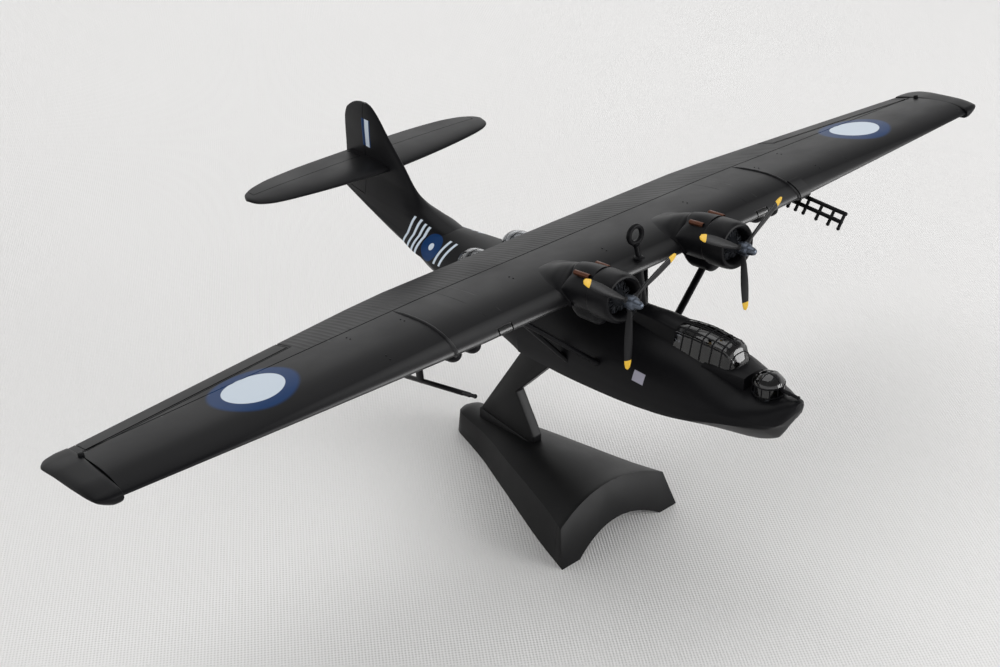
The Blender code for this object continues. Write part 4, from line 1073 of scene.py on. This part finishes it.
class FLYINGBOAT_OT_cockpit(Builder, bpy.types.Operator):
    """Cockpit canopy with its frames"""
    bl_idname = "flyingboat.cockpit"
    bl_label = "Cockpit"

    def execute(self, context):
        outer = shoulder_rings(CANOPY, along_table(CANOPY, 60), *CANOPY_SHAPE)
        glass = place_mesh("canopy_glass", [skin(outer)], HULL)
        thinner = CANOPY[1:-1] - (0.0, GLASS, GLASS, GLASS)
        inner = shoulder_rings(thinner, along_table(thinner, 50), *CANOPY_SHAPE)
        carve(glass, place_mesh("canopy_room", [skin(inner)], HULL), hull_cutter(-49.0, -32.5, 40))
        finished(glass, "smoked", nodes=["canopy"], smooth=30.0)
        shells = []
        for place in HOOPS:
            ring = shoulder_rings(CANOPY, np.array([place, place + 0.01]), *CANOPY_SHAPE)[0]
            out = ring - np.array([0.0, place, CAGE_MIDDLE])
            shells.append(sweep(ring[3:-3], oval(0.17, 0.1, 8), out[3:-3]))
        for index in CANOPY_BARS:
            for row in (index, outer.shape[1] - 1 - index):
                path = outer[6:, row]
                out = (path - (0.0, 0.0, CAGE_MIDDLE)) * (1.0, 0.0, 1.0)
                shells.append(sweep(path, oval(0.15, 0.1, 8), out))
        add_piece("canopy_frames", shells, HULL)
        return {"FINISHED"}


# Turret frames: radius, heights of the two hoops, number of posts and heights along a post.
FRAME_RADIUS = 2.72
HOOP_HEIGHTS = (2.1, 3.85)
POSTS = 12
POST_HEIGHTS = np.array([(0.0, 0.0, 1.4), (0.0, 0.0, 2.6), (0.0, 0.0, 3.9)])


class FLYINGBOAT_OT_turret(Builder, bpy.types.Operator):
    """Bow turret, a glazed drum under a clear dome, with its gun"""
    bl_idname = "flyingboat.turret"
    bl_label = "Bow turret"

    def execute(self, context):
        middle = np.array(TURRET)
        height = np.unique(np.concatenate([np.linspace(0.0, 5.6, 20), TURRET_PROFILE[:, 1]]))
        profile = np.stack([through(TURRET_PROFILE[:, ::-1], height)[:, 0], height], 1)
        drum = turned(profile, setting("detail").around, TURRET, (0, 0, 1))
        glass = place_mesh("turret_glass", [drum], HULL)
        carve(glass, hull_cutter(-58.0, -48.0, 40))
        finished(glass, "smoked", nodes=["bow_turret"])
        a = angles(40)
        circle = grid(np.cos(a), np.sin(a), 0.0)
        shells = []
        for level in HOOP_HEIGHTS:
            path = circle * FRAME_RADIUS + middle + (0.0, 0.0, level)
            shells.append(sweep(path, oval(0.13, 0.09, 8), circle, loop=True))
        for k in range(POSTS):
            turn = 2.0 * np.pi * (k + 0.5) / POSTS
            out = np.array([np.cos(turn), np.sin(turn), 0.0])
            path = middle + out * FRAME_RADIUS + POST_HEIGHTS
            shells.append(sweep(path, oval(0.12, 0.08, 8), out))
        rise = profile[height > HOOP_HEIGHTS[1]]
        for turn in (0.0, 0.5 * np.pi):
            out = np.array([np.cos(turn), np.sin(turn), 0.0])
            half = middle + rise[:, :1] * out + rise[:, 1:] * (0.0, 0.0, 1.0)
            other = middle - rise[:, :1] * out + rise[:, 1:] * (0.0, 0.0, 1.0)
            path = np.vstack([half[:-1], other[::-1]])
            shells.append(sweep(path, oval(0.1, 0.07, 8), path - middle - (0, 0, 3.0)))
        add_piece("turret_frames", shells, HULL)
        parts = [
            tube(GUN, 0.28, 14), tube([(0, -55.3, 16.7), (0, -56.8, 16.7), (0, -57.6, 16.7)], 0.36, 14),
            tube([(0, -59.0, 16.7), (0, -59.45, 16.7)], 0.34, 14),
        ]
        add_piece("bow_gun_detail", parts, HULL, slot="engine_grey", nodes=["bow_gun"])
        return {"FINISHED"}


# Blister hoops, as shares of the radii: three upright ones and a level one, each sunk a little.
UPRIGHT_HOOPS = (-0.42, 0.05, 0.5)
LEVEL_HOOP = 0.35
HOOP_SINK = 0.985
HOOP_SECTION = oval(0.11, 0.09, 8)


class FLYINGBOAT_OT_blisters(Builder, bpy.types.Operator):
    """Clear waist blisters with their hoops"""
    bl_idname = "flyingboat.blisters"
    bl_label = "Waist blisters"

    def execute(self, context):
        (x, y, z), radii = BLISTER
        radii = np.array(radii)
        for side_name, side in SIDES.items():
            middle = np.array([side * x, y, z])
            dome = place_mesh("blister_dome_" + side_name, [ball(middle, radii, 40, 28)], HULL)
            room = place_mesh("blister_room", [ball(middle, radii - GLASS, 40, 28)], HULL)
            carve(dome, room, hull_cutter(8.0, 30.0, 60))
            finished(dome, "clear", nodes=["blister_" + side_name])
            a = angles(48)
            shells = []
            for shift in UPRIGHT_HOOPS:
                shrink = np.sqrt(1.0 - shift**2)
                across, up = radii[0] * shrink * np.cos(a), radii[2] * shrink * np.sin(a)
                out = grid(across, radii[1] * shift, up)
                shells.append(sweep(out * HOOP_SINK + middle, HOOP_SECTION, out, loop=True))
            a = np.linspace(0.04, np.pi - 0.04, 30)
            shrink = np.sqrt(1.0 - LEVEL_HOOP**2)
            out = grid(side * radii[0] * shrink * np.sin(a), -radii[1] * shrink * np.cos(a),
                       radii[2] * LEVEL_HOOP)
            shells.append(sweep(out * HOOP_SINK + middle, HOOP_SECTION, out))
            add_piece("blister_hoops_" + side_name, shells, HULL)
        return {"FINISHED"}


class FLYINGBOAT_OT_tail(Builder, bpy.types.Operator):
    """Fin, rudder, tailplane and elevators"""
    bl_idname = "flyingboat.tail"
    bl_label = "Tail"

    def execute(self, context):
        gap = JOINT_GAP
        z = stations(FIN_START, FIN_TABLE[-1, 0], 0.15, RUDDER_FOOT - gap)
        lead, trail = through(FIN_TABLE, z).T[:2]
        rear = np.where(z > RUDDER_FOOT - gap, np.minimum(RUDDER_HINGE - gap, trail), trail)
        add_piece("fin_skin", [skin(fin_rings(z, lead, rear))], HULL, "fin", nodes=["fin"])
        z = stations(RUDDER_FOOT + gap, 36.1, 0.15)
        rudder = fin_rings(z, np.full_like(z, RUDDER_HINGE + gap), through(FIN_TABLE, z)[:, 1], 18)
        add_piece("rudder_skin", [skin(rudder)], HULL, "fin", nodes=["rudder"])
        near, far = ELEVATOR_SPAN
        tip = TAIL_PLAN[-1, 0]
        x = stations(-tip, tip, 0.25, -far - gap, -near + gap, near - gap, far + gap)
        lead, trail = through(TAIL_PLAN, np.abs(x)).T
        hinge = np.interp(np.abs(x), ELEVATOR_SPAN, ELEVATOR_HINGE)
        open_part = (np.abs(x) > near - gap) & (np.abs(x) < far + gap)
        rear = np.where(open_part, np.minimum(hinge - gap, trail), trail)
        tailplane = skin(tail_surface_rings(x, lead, rear))
        add_piece("tailplane_skin", [tailplane], HULL, nodes=["tailplane"])
        for side_name, side in SIDES.items():
            x = stations(near + gap, far - gap, 0.4)
            hinge = np.interp(x, ELEVATOR_SPAN, ELEVATOR_HINGE)
            rings = tail_surface_rings(side * x, hinge + gap, through(TAIL_PLAN, x)[:, 1])
            name = "elevator_%s" + side_name
            add_piece(name % "skin_", [skin(rings)], HULL, nodes=[name % ""])
        return {"FINISHED"}


class FLYINGBOAT_OT_wing(Builder, bpy.types.Operator):
    """Wing centre section, outer wings and ailerons, with ribs and engraved lines"""
    bl_idname = "flyingboat.wing"
    bl_label = "Wing"

    def execute(self, context):
        pitch = 0.2 * setting("wing").rib_pitch / MM
        gap = JOINT_GAP
        near, far = LAMP_SPAN
        marks = [side * (edge + grow) for side in (-1, 1) for edge, grow in ((near, -gap), (far, gap))]
        x = stations(-WING_JOINT + PARTING, WING_JOINT - PARTING, pitch, *marks)
        lead, trail = wing_edges(x)[:2]
        lamp = (np.abs(x) > near - gap) & (np.abs(x) < far + gap)
        rings = wing_rings(x, np.where(lamp, LAMP_DEPTH, lead), trail)
        add_piece("wing_centre_skin", [skin(rings)], WING, "wing", nodes=["wing_centre"])
        low, high = AILERON_SPAN
        for side_name, side in SIDES.items():
            x = stations(WING_JOINT + PARTING, WING_PLAN[-1, 0], pitch,
                         low - gap, high + gap, low - TAB_BESIDE)
            lead, trail = wing_edges(x)[:2]
            opening = (x > low - gap) & (x < high + gap)
            rear = np.where(opening, aileron_line(x) - HINGE_GAP, trail)
            rings = wing_rings(side * x, lead, rear, tab=True)
            add_piece("wing_outer_skin_" + side_name, [skin(rings)], WING, "wing",
                      nodes=["wing_outer_" + side_name])
            x = stations(low + gap, high - gap, 0.5)
            rings = wing_rings(side * x, aileron_line(x) + HINGE_GAP, wing_edges(x)[1], 14, ribs=False)
            add_piece("aileron_skin_" + side_name, [skin(rings)], WING, "wing",
                      nodes=["aileron_" + side_name])
        return {"FINISHED"}


# Raised pips on the wing top, in pairs: distance outboard and place along the chord.
PIPS = [(3.0, 6.6), (21.5, 10.4), (43.6, 12.2), (53.0, 14.5), (52.4, 4.2)]
PIP_SHIFT = 0.55
# Joint straps: places along the wing's top, then round its edge and a little way back below.
STRAP_RUN = np.array([17.2, 16.0, 14.0, 11.0, 8.0, 5.7, 3.6, 2.0, 1.0, 0.45, 0.15])
STRAP_BACK = np.array([0.15, 0.5, 1.1])
LAMP_GAP = 0.2
LAMP_BACK_INSET = 0.15


class FLYINGBOAT_OT_wing_fittings(Builder, bpy.types.Operator):
    """Joint straps, landing lamps, tip floats and pips of the wing"""
    bl_idname = "flyingboat.wing_fittings"
    bl_label = "Wing fittings"

    def execute(self, context):
        lead, trail, ratio = wing_edges([WING_JOINT])[:, 0]
        run = np.concatenate([STRAP_RUN, [lead], STRAP_BACK])
        upper, lower = section_heights(lead, trail, ratio, run)
        top, below = len(STRAP_RUN), len(STRAP_BACK)
        level = np.concatenate([upper[:top + 1], lower[top + 1:]])
        out = np.array([(0.0, 0.0, 1.0)] * top + [(0.0, -1.0, 0.0)] + [(0.0, 0.0, -1.0)] * below)
        fade = np.interp(run, [0.0, 15.0, 17.2], [1.0, 1.0, 0.3])
        fade[-1] = 0.4
        section = oval(0.36, 0.32, 16)[None] * fade[:, None, None]
        for side_name, side in SIDES.items():
            path = grid(side * WING_JOINT, run, level) - 0.05 * out
            add_piece("joint_strap_" + side_name, [sweep(path, section, out)], WING, "wing")
            self.lamp(side_name, side)
            self.tip_float(side_name, side)
        shells = []
        for x, y in PIPS:
            for side in SIDES.values():
                for shift in (-PIP_SHIFT, PIP_SHIFT):
                    top = section_heights(*wing_edges([x])[:, 0], np.array(y + shift))[0]
                    shells.append(ball((side * x, y + shift, float(top)), (0.16, 0.16, 0.1), 12, 8))
        add_piece("wing_pips", shells, WING)
        return {"FINISHED"}

    def lamp(self, side_name, side):
        """A clear stretch of the leading edge with a pale backing a little behind it."""
        x = np.linspace(LAMP_SPAN[0] + LAMP_GAP, LAMP_SPAN[1] - LAMP_GAP, 12)
        lead, trail, ratio = wing_edges(x)[..., None]
        t = np.sin(np.linspace(0.0, 0.5 * np.pi, 20)) ** 2
        y = lead + (LAMP_DEPTH - LAMP_BACK_INSET - lead) * t
        upper, lower = section_heights(lead, trail, ratio, y)
        across = side * x[:, None]
        rings = there_and_back(grid(across, y, upper), grid(across, y, lower))
        add_piece("lamp_lens_" + side_name, [skin(rings)], WING, "lamp_lens",
                  nodes=["landing_lamp_" + side_name])
        middle = rings.mean((0, 1))
        shrink = (rings - middle) * (0.86, 0.7, 0.8) + middle
        shrink[..., 1] += 0.2
        add_piece("lamp_backing_" + side_name, [skin(shrink)], WING, "lamp")

    def tip_float(self, side_name, side):
        """Retracted float: sections along the chord, each a superellipse that is squarer on the
        wing's side, widest high up and drawn in below, with a lug where its rear meets the wing."""
        y = along_table(FLOAT_TABLE, 80)
        reach, top, bottom = through(FLOAT_TABLE, y).T[:, :, None]
        outer, inner = oval(1.0, 1.0, 44, 2.7), oval(1.0, 1.0, 44, 7.0)
        across, up = np.where(outer[:, :1] > 0.0, outer, inner).T[:, None, :]
        out = 0.5 * reach * (1.0 + across) * (1.0 - 0.5 * np.clip(-up, 0.0, 1.0) ** 1.2)
        widest = 0.5 * top
        level = widest + np.where(up > 0.0, top - widest, widest - bottom) * up
        rings = grid(side * (FLOAT_ROOT + out), y[:, None], level)
        peg = tube([(side * 100.0, 15.9, 0.4), (side * 100.0, 15.9, 1.85)], 0.5, 14, (0, 1, 0))
        add_piece("tip_float_skin_" + side_name, [skin(rings), peg], WING,
                  nodes=["tip_float_" + side_name])


# Engine: profile of the crankcase, then the cylinders' place aft and their radii from the shaft.
CASE_PROFILE = [
    (0.01, -9.79), (0.55, -9.79), (0.75, -9.7), (0.85, -9.2), (1.3, -8.7), (1.45, -8.2),
    (1.85, -7.6), (1.9, -7.4), (1.9, -5.7), (0.01, -5.65),
]
CYLINDER_Y = -7.4
CYLINDER_SPAN = (1.7, 2.84)
FIN_PITCH = 0.28
ROD_SHIFT = 0.3
EXHAUST_RADIUS = 0.47


class FLYINGBOAT_OT_engines(Builder, bpy.types.Operator):
    """Engine housings, radial engines with finned cylinders, exhaust stubs"""
    bl_idname = "flyingboat.engines"
    bl_label = "Engines"

    def execute(self, context):
        for side_name, side in SIDES.items():
            x = side * ENGINE_X
            shells = [skin(nacelle_rings(x)), skin(saddle_rings(x))]
            add_piece("nacelle_skin_" + side_name, shells, WING,
                      nodes=["nacelle_" + side_name], smooth=42.0)
            middle = np.array((x, 0.0, THRUST_Z))
            shells = [turned(CASE_PROFILE, setting("detail").around, middle)]
            for k in range(CYLINDERS):
                turn = 2.0 * np.pi * k / CYLINDERS
                out = np.array([np.sin(turn), 0.0, np.cos(turn)])
                r = np.linspace(*CYLINDER_SPAN, 24)
                fins = 0.5 + 0.08 * np.sign(np.sin(2.0 * np.pi * (r - CYLINDER_SPAN[0]) / FIN_PITCH))
                profile = np.vstack([(0.01, 1.62), np.stack([fins, r], 1), (0.36, 2.92), (0.01, 3.0)])
                shells.append(turned(profile, 20, (x, CYLINDER_Y, THRUST_Z), out))
                for shift in (-ROD_SHIFT, ROD_SHIFT):
                    base = middle + np.array([np.cos(turn), 0.0, -np.sin(turn)]) * shift
                    rod = [base + out * 1.5 + (0, -8.4, 0), base + out * 2.75 + (0, -8.0, 0)]
                    shells.append(tube(rod, 0.07, 8, np.cross(out, (0, 1, 0))))
            add_piece("engine_detail_" + side_name, shells, WING, "engine",
                      nodes=["engine_" + side_name])
            for name, offset, height, front, rear in EXHAUSTS:
                start = np.array([x + side * offset, front, THRUST_Z + height])
                end = np.array([x + side * offset * 1.04, rear, THRUST_Z + height - 0.05])
                r = EXHAUST_RADIUS
                run = np.linalg.norm(end - start)
                # An open mouth, a wall with a low ring round it, and a closed rear end.
                profile = [
                    (0.01, 0.45 * run), (r - 0.22, 0.45 * run), (r - 0.14, 0.0), (r - 0.05, -0.03),
                    (r, 0.1), (r, 0.45 * run), (r + 0.02, 0.5 * run), (r, 0.55 * run),
                    (r, run - 0.1), (r - 0.08, run), (0.01, run),
                ]
                full = "exhaust_%s" + "%s_%s" % (side_name, name)
                add_piece(full % "stub_", [turned(profile, 28, start, end - start)], WING, "copper",
                          nodes=[full % ""])
        return {"FINISHED"}


class FLYINGBOAT_OT_propellers(Builder, bpy.types.Operator):
    """Three-bladed propellers with yellow tips"""
    bl_idname = "flyingboat.propellers"
    bl_label = "Propellers"

    def execute(self, context):
        r = np.unique(np.concatenate([
            along_table(BLADE_TABLE, 70), np.linspace(11.4, BLADE_TABLE[-1, 0], 20),
        ]))
        half, thick, twist = through(BLADE_TABLE, r).T[:, :, None]
        r = r[:, None]
        a = angles(28)[None, :]
        u = half * np.cos(a)
        w = thick * np.sin(a) * (1.0 + 0.25 * np.cos(a))
        t = np.radians(twist)
        across = u * np.cos(t) + w * np.sin(t)
        along = w * np.cos(t) - u * np.sin(t) + BLADE_PLANE
        for side_name, side in SIDES.items():
            x = side * ENGINE_X
            shells = [turned(HUB_PROFILE, setting("detail").around, (x, 0.0, THRUST_Z))]
            middle = np.array([x, BLADE_PLANE, THRUST_Z])
            for k in range(BLADES):
                turn = np.radians(PROPELLER_PHASE[side_name] + 360.0 * k / BLADES)
                sideways = r * np.sin(turn) + across * np.cos(turn)
                upwards = across * np.sin(turn) - r * np.cos(turn)
                shells.append(skin(grid(x + sideways, along, THRUST_Z + upwards)))
                out = np.array([np.sin(turn), 0.0, -np.cos(turn)])
                root = [middle + out * 0.7, middle + out * 1.75]
                shells.append(tube(root, [0.62, 0.5], 20, (0, 1, 0)))
            name = "propeller_%s" + side_name
            body = name % ""
            add_piece(name % "blades_", shells, WING, body, body=body, nodes=[body])
        return {"FINISHED"}


PYLON_FOOT = 17.0


class FLYINGBOAT_OT_struts(Builder, bpy.types.Operator):
    """Pylon and the four wing struts with their leaf-shaped feet"""
    bl_idname = "flyingboat.struts"
    bl_label = "Pylon and struts"

    def execute(self, context):
        t = np.linspace(0.0, 1.0, 40)[:, None]
        c = 0.5 * (1.0 - np.cos(np.pi * np.linspace(0.02, 0.99, 40)[None, :] ** 1.6))
        (edge_y, edge_z), fall = WING_TO_HULL
        lead, trail, half = straight(PYLON_TABLE, PYLON_FOOT + 9.0 * t[:, 0]).T[:, :, None]
        y = lead + (trail - lead) * c
        along = y - edge_y
        hollow = 0.9 * np.sin(np.pi * np.clip(along / 29.0, 0.0, 1.0))
        roof = edge_z - np.tan(np.radians(fall)) * along + 0.15 + hollow
        z = PYLON_FOOT + (roof - PYLON_FOOT) * t
        flare = 1.0 + 0.25 * np.exp(-(z - PYLON_FOOT - 0.4) / 0.8)
        wide = half * flare * section_shape(c) / 0.1
        rings = there_and_back(grid(wide, y, z), grid(-wide, y, z))
        add_piece("pylon_skin", [skin(rings)], HULL, nodes=["pylon"])
        t = np.linspace(0.0, 1.0, 24)[:, None]
        for side_name, side in SIDES.items():
            for place, foot, top in STRUTS:
                foot, top = np.array([foot, top]) * (side, 1.0, 1.0)
                path = foot * (1.0 - t) + top * t
                # The pad's axes: across the strut, along it, and out of the hull.
                along = (top - foot) / np.linalg.norm(top - foot)
                out = np.cross(along, (0.0, side, 0.0))
                axes = np.array([np.cross(along, out), along, out / np.linalg.norm(out)])
                leaf, faces = ball((0.0, 0.0, 0.0), STRUT_PAD, 28, 20)
                shells = [
                    sweep(path, oval(0.8, 0.48, 24), (side, 0.0, -1.0)),
                    (leaf @ axes + foot + STRUT_PAD_RISE * along, faces),
                ]
                name = "strut_%s_%s" % (side_name, place)
                add_piece(name + "_skin", shells, WING, nodes=[name])
        return {"FINISHED"}


BOOM_RADIUS = 0.41
LOOP_RADIUS = 1.55


class FLYINGBOAT_OT_aerials(Builder, bpy.types.Operator):
    """Direction-finding loop and the two ladder aerials"""
    bl_idname = "flyingboat.aerials"
    bl_label = "Aerials"

    def execute(self, context):
        ring = grid(np.sin(angles(48)), 0.0, np.cos(angles(48)))
        stem = [(0.0, 1.0, 1.9), (0.0, 1.3, 3.0), (0.0, 1.5, 4.0), (0.0, 1.6, 4.7)]
        shells = [
            sweep(ring * LOOP_RADIUS + LOOP_PLACE, oval(0.48, 0.48, 20), ring, loop=True),
            tube(stem, [0.55, 0.45, 0.5, 0.85], 20, (0, 1, 0)), ball(stem[0], (0.9, 1.1, 0.5), 24, 14),
        ]
        add_piece("loop_aerial_detail", shells, WING, nodes=["loop_aerial"])
        for side_name, side in SIDES.items():
            shells = []
            for near, far, drop in ((0.0, 1.0, 0.0), (0.05, 0.99, BOOM_SPACING)):
                ends = [ladder_place(side_name, share, drop) for share in (near, far)]
                shells.append(tube(ends, BOOM_RADIUS))
            for share in RUNGS:
                ends = [ladder_place(side_name, share, reach) for reach in (-0.1, RUNG_LENGTH)]
                shells.append(tube(ends, 0.32, 12, (0, 1, 0)))
                knob = ladder_place(side_name, share, RUNG_LENGTH - 0.3)
                shells.append(ball(knob, (0.38, 0.38, 0.38), 14, 10))
            if side < 0.0:
                shells.append(sweep(POST, oval(0.35, 1.0, 20), (0, 1, 0)))
            else:
                add_piece("ladder_saddle_" + side_name, [self.saddle(side)], WING, "wing")
            name = "ladder_aerial_" + side_name
            add_piece(name + "_detail", shells, WING, nodes=[name])
        return {"FINISHED"}

    def saddle(self, side):
        """A strap round the leading edge: the section's outline, pushed out by its thickness."""
        x = np.linspace(*SADDLE_SPAN, 6)
        lead, trail, ratio = wing_edges(x)[..., None]
        t = np.sin(np.linspace(0.0, 0.5 * np.pi, 16)) ** 2
        y = lead + 3.0 * t
        upper, lower = section_heights(lead, trail, ratio, y)
        across = side * x[:, None]
        rings = []
        for grow, order in ((0.42, 1), (-0.1, -1)):
            along = y - grow * np.sqrt(1.0 - t)
            top = grid(across, along, upper + grow * t**0.3)
            bottom = grid(across, along, lower - grow * t**0.3)
            rings.append(np.concatenate([top[:, ::-1], bottom], axis=1)[:, ::order])
        return skin(np.concatenate(rings, axis=1))


BAND_PLACES = (6.2, 9.4)
BAND_PROFILE = np.array([(1.5, -0.25), (1.6, -0.2), (1.6, 0.2), (1.5, 0.25)])


class FLYINGBOAT_OT_stores(Builder, bpy.types.Operator):
    """Round-nosed depth bombs under the wing"""
    bl_idname = "flyingboat.stores"
    bl_label = "Bombs"

    def execute(self, context):
        y = np.unique(np.concatenate([np.linspace(3.52, 13.98, 40), BOMB_PROFILE[:, 1]]))
        profile = np.stack([through(BOMB_PROFILE[:, ::-1], y)[:, 0], y], 1)
        blade, faces = block((-1.0, 12.3, -0.08), (1.0, 13.9, 0.08))
        for side_name, side in SIDES.items():
            for k, x in enumerate(BOMB_PLACES):
                middle = (side * x, 0.0, BOMB_HEIGHT)
                shells = [turned(profile, 32, middle)]
                for place in BAND_PLACES:
                    shells.append(turned(BAND_PROFILE + (0.0, place), 32, middle))
                for spin in (45.0, 135.0):
                    shells.append((blade @ rotation("y", spin).T + middle, faces))
                lug = np.array([side * x, 7.8, BOMB_HEIGHT + 1.5])
                shells.append(block(lug - (0.2, 0.5, 0.3), lug + (0.2, 0.5, 1.0)))
                name = "bomb_%s_%d" % (side_name, k + 1)
                add_piece(name + "_detail", shells, WING, nodes=[name])
        return {"FINISHED"}


class FLYINGBOAT_OT_stand(Builder, bpy.types.Operator):
    """Arched wedge base, open below, and the cranked arm"""
    bl_idname = "flyingboat.stand"
    bl_label = "Stand"

    def execute(self, context):
        count = np.arange(len(STAND_TABLE))
        rows = np.interp(np.linspace(0.0, 1.0, 34), np.linspace(0.0, 1.0, len(count)), count)
        table = through(np.hstack([count[:, None], STAND_TABLE]), rows)
        foot_y, top_y, foot, top, edge, arch = table.T[:, :, None]
        s = np.linspace(1.0, -1.0, 33)[None, :]
        rise = arch * (1.0 - s * s)
        over = grid(top * s, top_y + (top_y - foot_y) * rise / edge, edge + rise)
        feet = [grid(k * foot, foot_y, 0.0) for k in (-1.0, 1.0)]
        base = place_mesh("stand_base_skin", [skin(np.concatenate(feet + [over], axis=1))], STAND)
        y = along_table(TUNNEL_TABLE, 20)[:, None]
        half, height = through(TUNNEL_TABLE, y[:, 0]).T[:, :, None]
        s = np.linspace(1.0, -1.0, 25)[None, :]
        roof = grid(half * s, y, height * (1.0 - s * s))
        feet = [grid(k * half, y, -2.0) for k in (-1.0, 1.0)]
        carve(base, place_mesh("tunnel", [skin(np.concatenate(feet + [roof], axis=1))], STAND))
        soften(base, 0.45, 50.0)
        finished(base, "stand", nodes=["stand_base"], smooth=30.0)
        outline = np.array(ARM_PROFILE) * (-1.0, 1.0)
        path = [(-1.2, 0.0, 0.0), (1.2, 0.0, 0.0)]
        arm = place_mesh("stand_arm_skin", [sweep(path, outline)], STAND)
        flange = place_mesh("stand_flange", [block((-1.5, -0.2, 6.0), (1.5, 17.5, 8.8))], STAND)
        for piece, replaced in ((arm, ["stand_arm"]), (flange, [])):
            soften(piece, 0.28)
            finished(piece, "stand", nodes=replaced, smooth=30.0)
        return {"FINISHED"}


# Softboxes: name, place, what they aim at and width, in metres.
SOFTBOXES = [
    ("back", (0.36, 0.50, 0.32), (0.0, 0.0, 0.05), 0.5),
    ("front", (0.36, -0.57, 0.13), (0.0, 0.0, 0.03), 0.45),
    ("overhead", (0.1, 0.3, 1.0), (0.0, 0.05, 0.0), 1.1),
]
FLOOR_RADIUS = 1.6
FLOOR_SHIFT = 0.6
# The camera's place in metres and the way it looks.
CAMERA_PLACE = (-0.16244, -0.18165, 0.19362)
CAMERA_LOOK = (0.5392, 0.6424, -0.5445)


class FLYINGBOAT_OT_stage(Builder, bpy.types.Operator):
    """Pale cloth floor, soft studio lights and the camera"""
    bl_idname = "flyingboat.stage"
    bl_label = "Stage"

    def execute(self, context):
        stage = setting("stage")
        scene = context.scene
        a = angles(64)
        rim = grid(FLOOR_RADIUS * np.cos(a), FLOOR_SHIFT + FLOOR_RADIUS * np.sin(a), 0.0)
        mesh = bpy.data.meshes.new("floor")
        mesh.from_pydata(rim, [], [list(range(len(rim)))])
        floor = bpy.data.objects.new("floor", mesh)
        floor.data.materials.append(finish("floor"))
        scene.collection.objects.link(floor)
        for name, place, aim, size in SOFTBOXES:
            data = bpy.data.lights.new(name + "_softbox", "AREA")
            data.energy = getattr(stage, name)
            data.shape = "DISK"
            data.size = size
            lamp = bpy.data.objects.new(name + "_softbox", data)
            lamp.location = place
            lamp.rotation_euler = (Vector(place) - Vector(aim)).to_track_quat("Z", "Y").to_euler()
            scene.collection.objects.link(lamp)
        world = bpy.data.worlds.new("room")
        world.use_nodes = True
        tree = world.node_tree
        way = node(tree, "TexCoord")["Generated"]
        height = node(tree, "VectorMath", {1: (0.0, 0.0, 1.0)}, {0: way}, operation="DOT_PRODUCT")
        glow = node(tree, "MapRange", ramp(0.3, 0.6, stage.room_low, stage.room_high),
                    {"Value": height["Value"]}, interpolation_type="SMOOTHSTEP")
        wire(tree, tree.nodes["Background"], {"Color": (1.0, 1.0, 1.0, 1.0)},
             {"Strength": glow["Result"]})
        scene.world = world
        camera_data = bpy.data.cameras.new("camera")
        camera_data.lens = stage.lens
        camera_data.sensor_width = 36.0
        camera_data.clip_start = 0.01
        camera = bpy.data.objects.new("camera", camera_data)
        camera.location = CAMERA_PLACE
        camera.rotation_euler = Vector(CAMERA_LOOK).to_track_quat("-Z", "Y").to_euler()
        scene.collection.objects.link(camera)
        scene.camera = camera
        scene.view_settings.view_transform = "Standard"
        return {"FINISHED"}


STEPS = (
    FLYINGBOAT_OT_hull, FLYINGBOAT_OT_cockpit, FLYINGBOAT_OT_turret, FLYINGBOAT_OT_blisters,
    FLYINGBOAT_OT_tail, FLYINGBOAT_OT_wing, FLYINGBOAT_OT_wing_fittings, FLYINGBOAT_OT_engines,
    FLYINGBOAT_OT_propellers, FLYINGBOAT_OT_struts, FLYINGBOAT_OT_aerials, FLYINGBOAT_OT_stores,
    FLYINGBOAT_OT_stand, FLYINGBOAT_OT_stage,
)
GROUPS = {"colours": FinishColours, "wing": WingSizes, "stage": StageSettings, "detail": ModelDetail}


class FLYINGBOAT_PT_panel(bpy.types.Panel):
    """Lists the building steps and the settings"""
    bl_label = "Flying boat"
    bl_idname = "FLYINGBOAT_PT_panel"
    bl_space_type = "VIEW_3D"
    bl_region_type = "UI"
    bl_category = "Flying boat"

    def draw(self, context):
        for step in STEPS:
            self.layout.operator(step.bl_idname)
        for name, group in GROUPS.items():
            box = self.layout.box()
            for prop in group.__annotations__:
                box.prop(setting(name), prop)


def register():
    """Add the classes and the scene's property groups."""
    for group in GROUPS.values():
        bpy.utils.register_class(group)
    for step in STEPS:
        bpy.utils.register_class(step)
    bpy.utils.register_class(FLYINGBOAT_PT_panel)
    for name, group in GROUPS.items():
        setattr(bpy.types.Scene, "flying_boat_" + name, PointerProperty(type=group))


def unregister():
    """Remove what register added."""
    for name in GROUPS:
        delattr(bpy.types.Scene, "flying_boat_" + name)
    bpy.utils.unregister_class(FLYINGBOAT_PT_panel)
    for step in reversed(STEPS):
        bpy.utils.unregister_class(step)
    for group in GROUPS.values():
        bpy.utils.unregister_class(group)


def main():
    register()
    for step in STEPS:
        category, name = step.bl_idname.split(".")
        getattr(getattr(bpy.ops, category), name)()


if __name__ == "__main__":
    main()
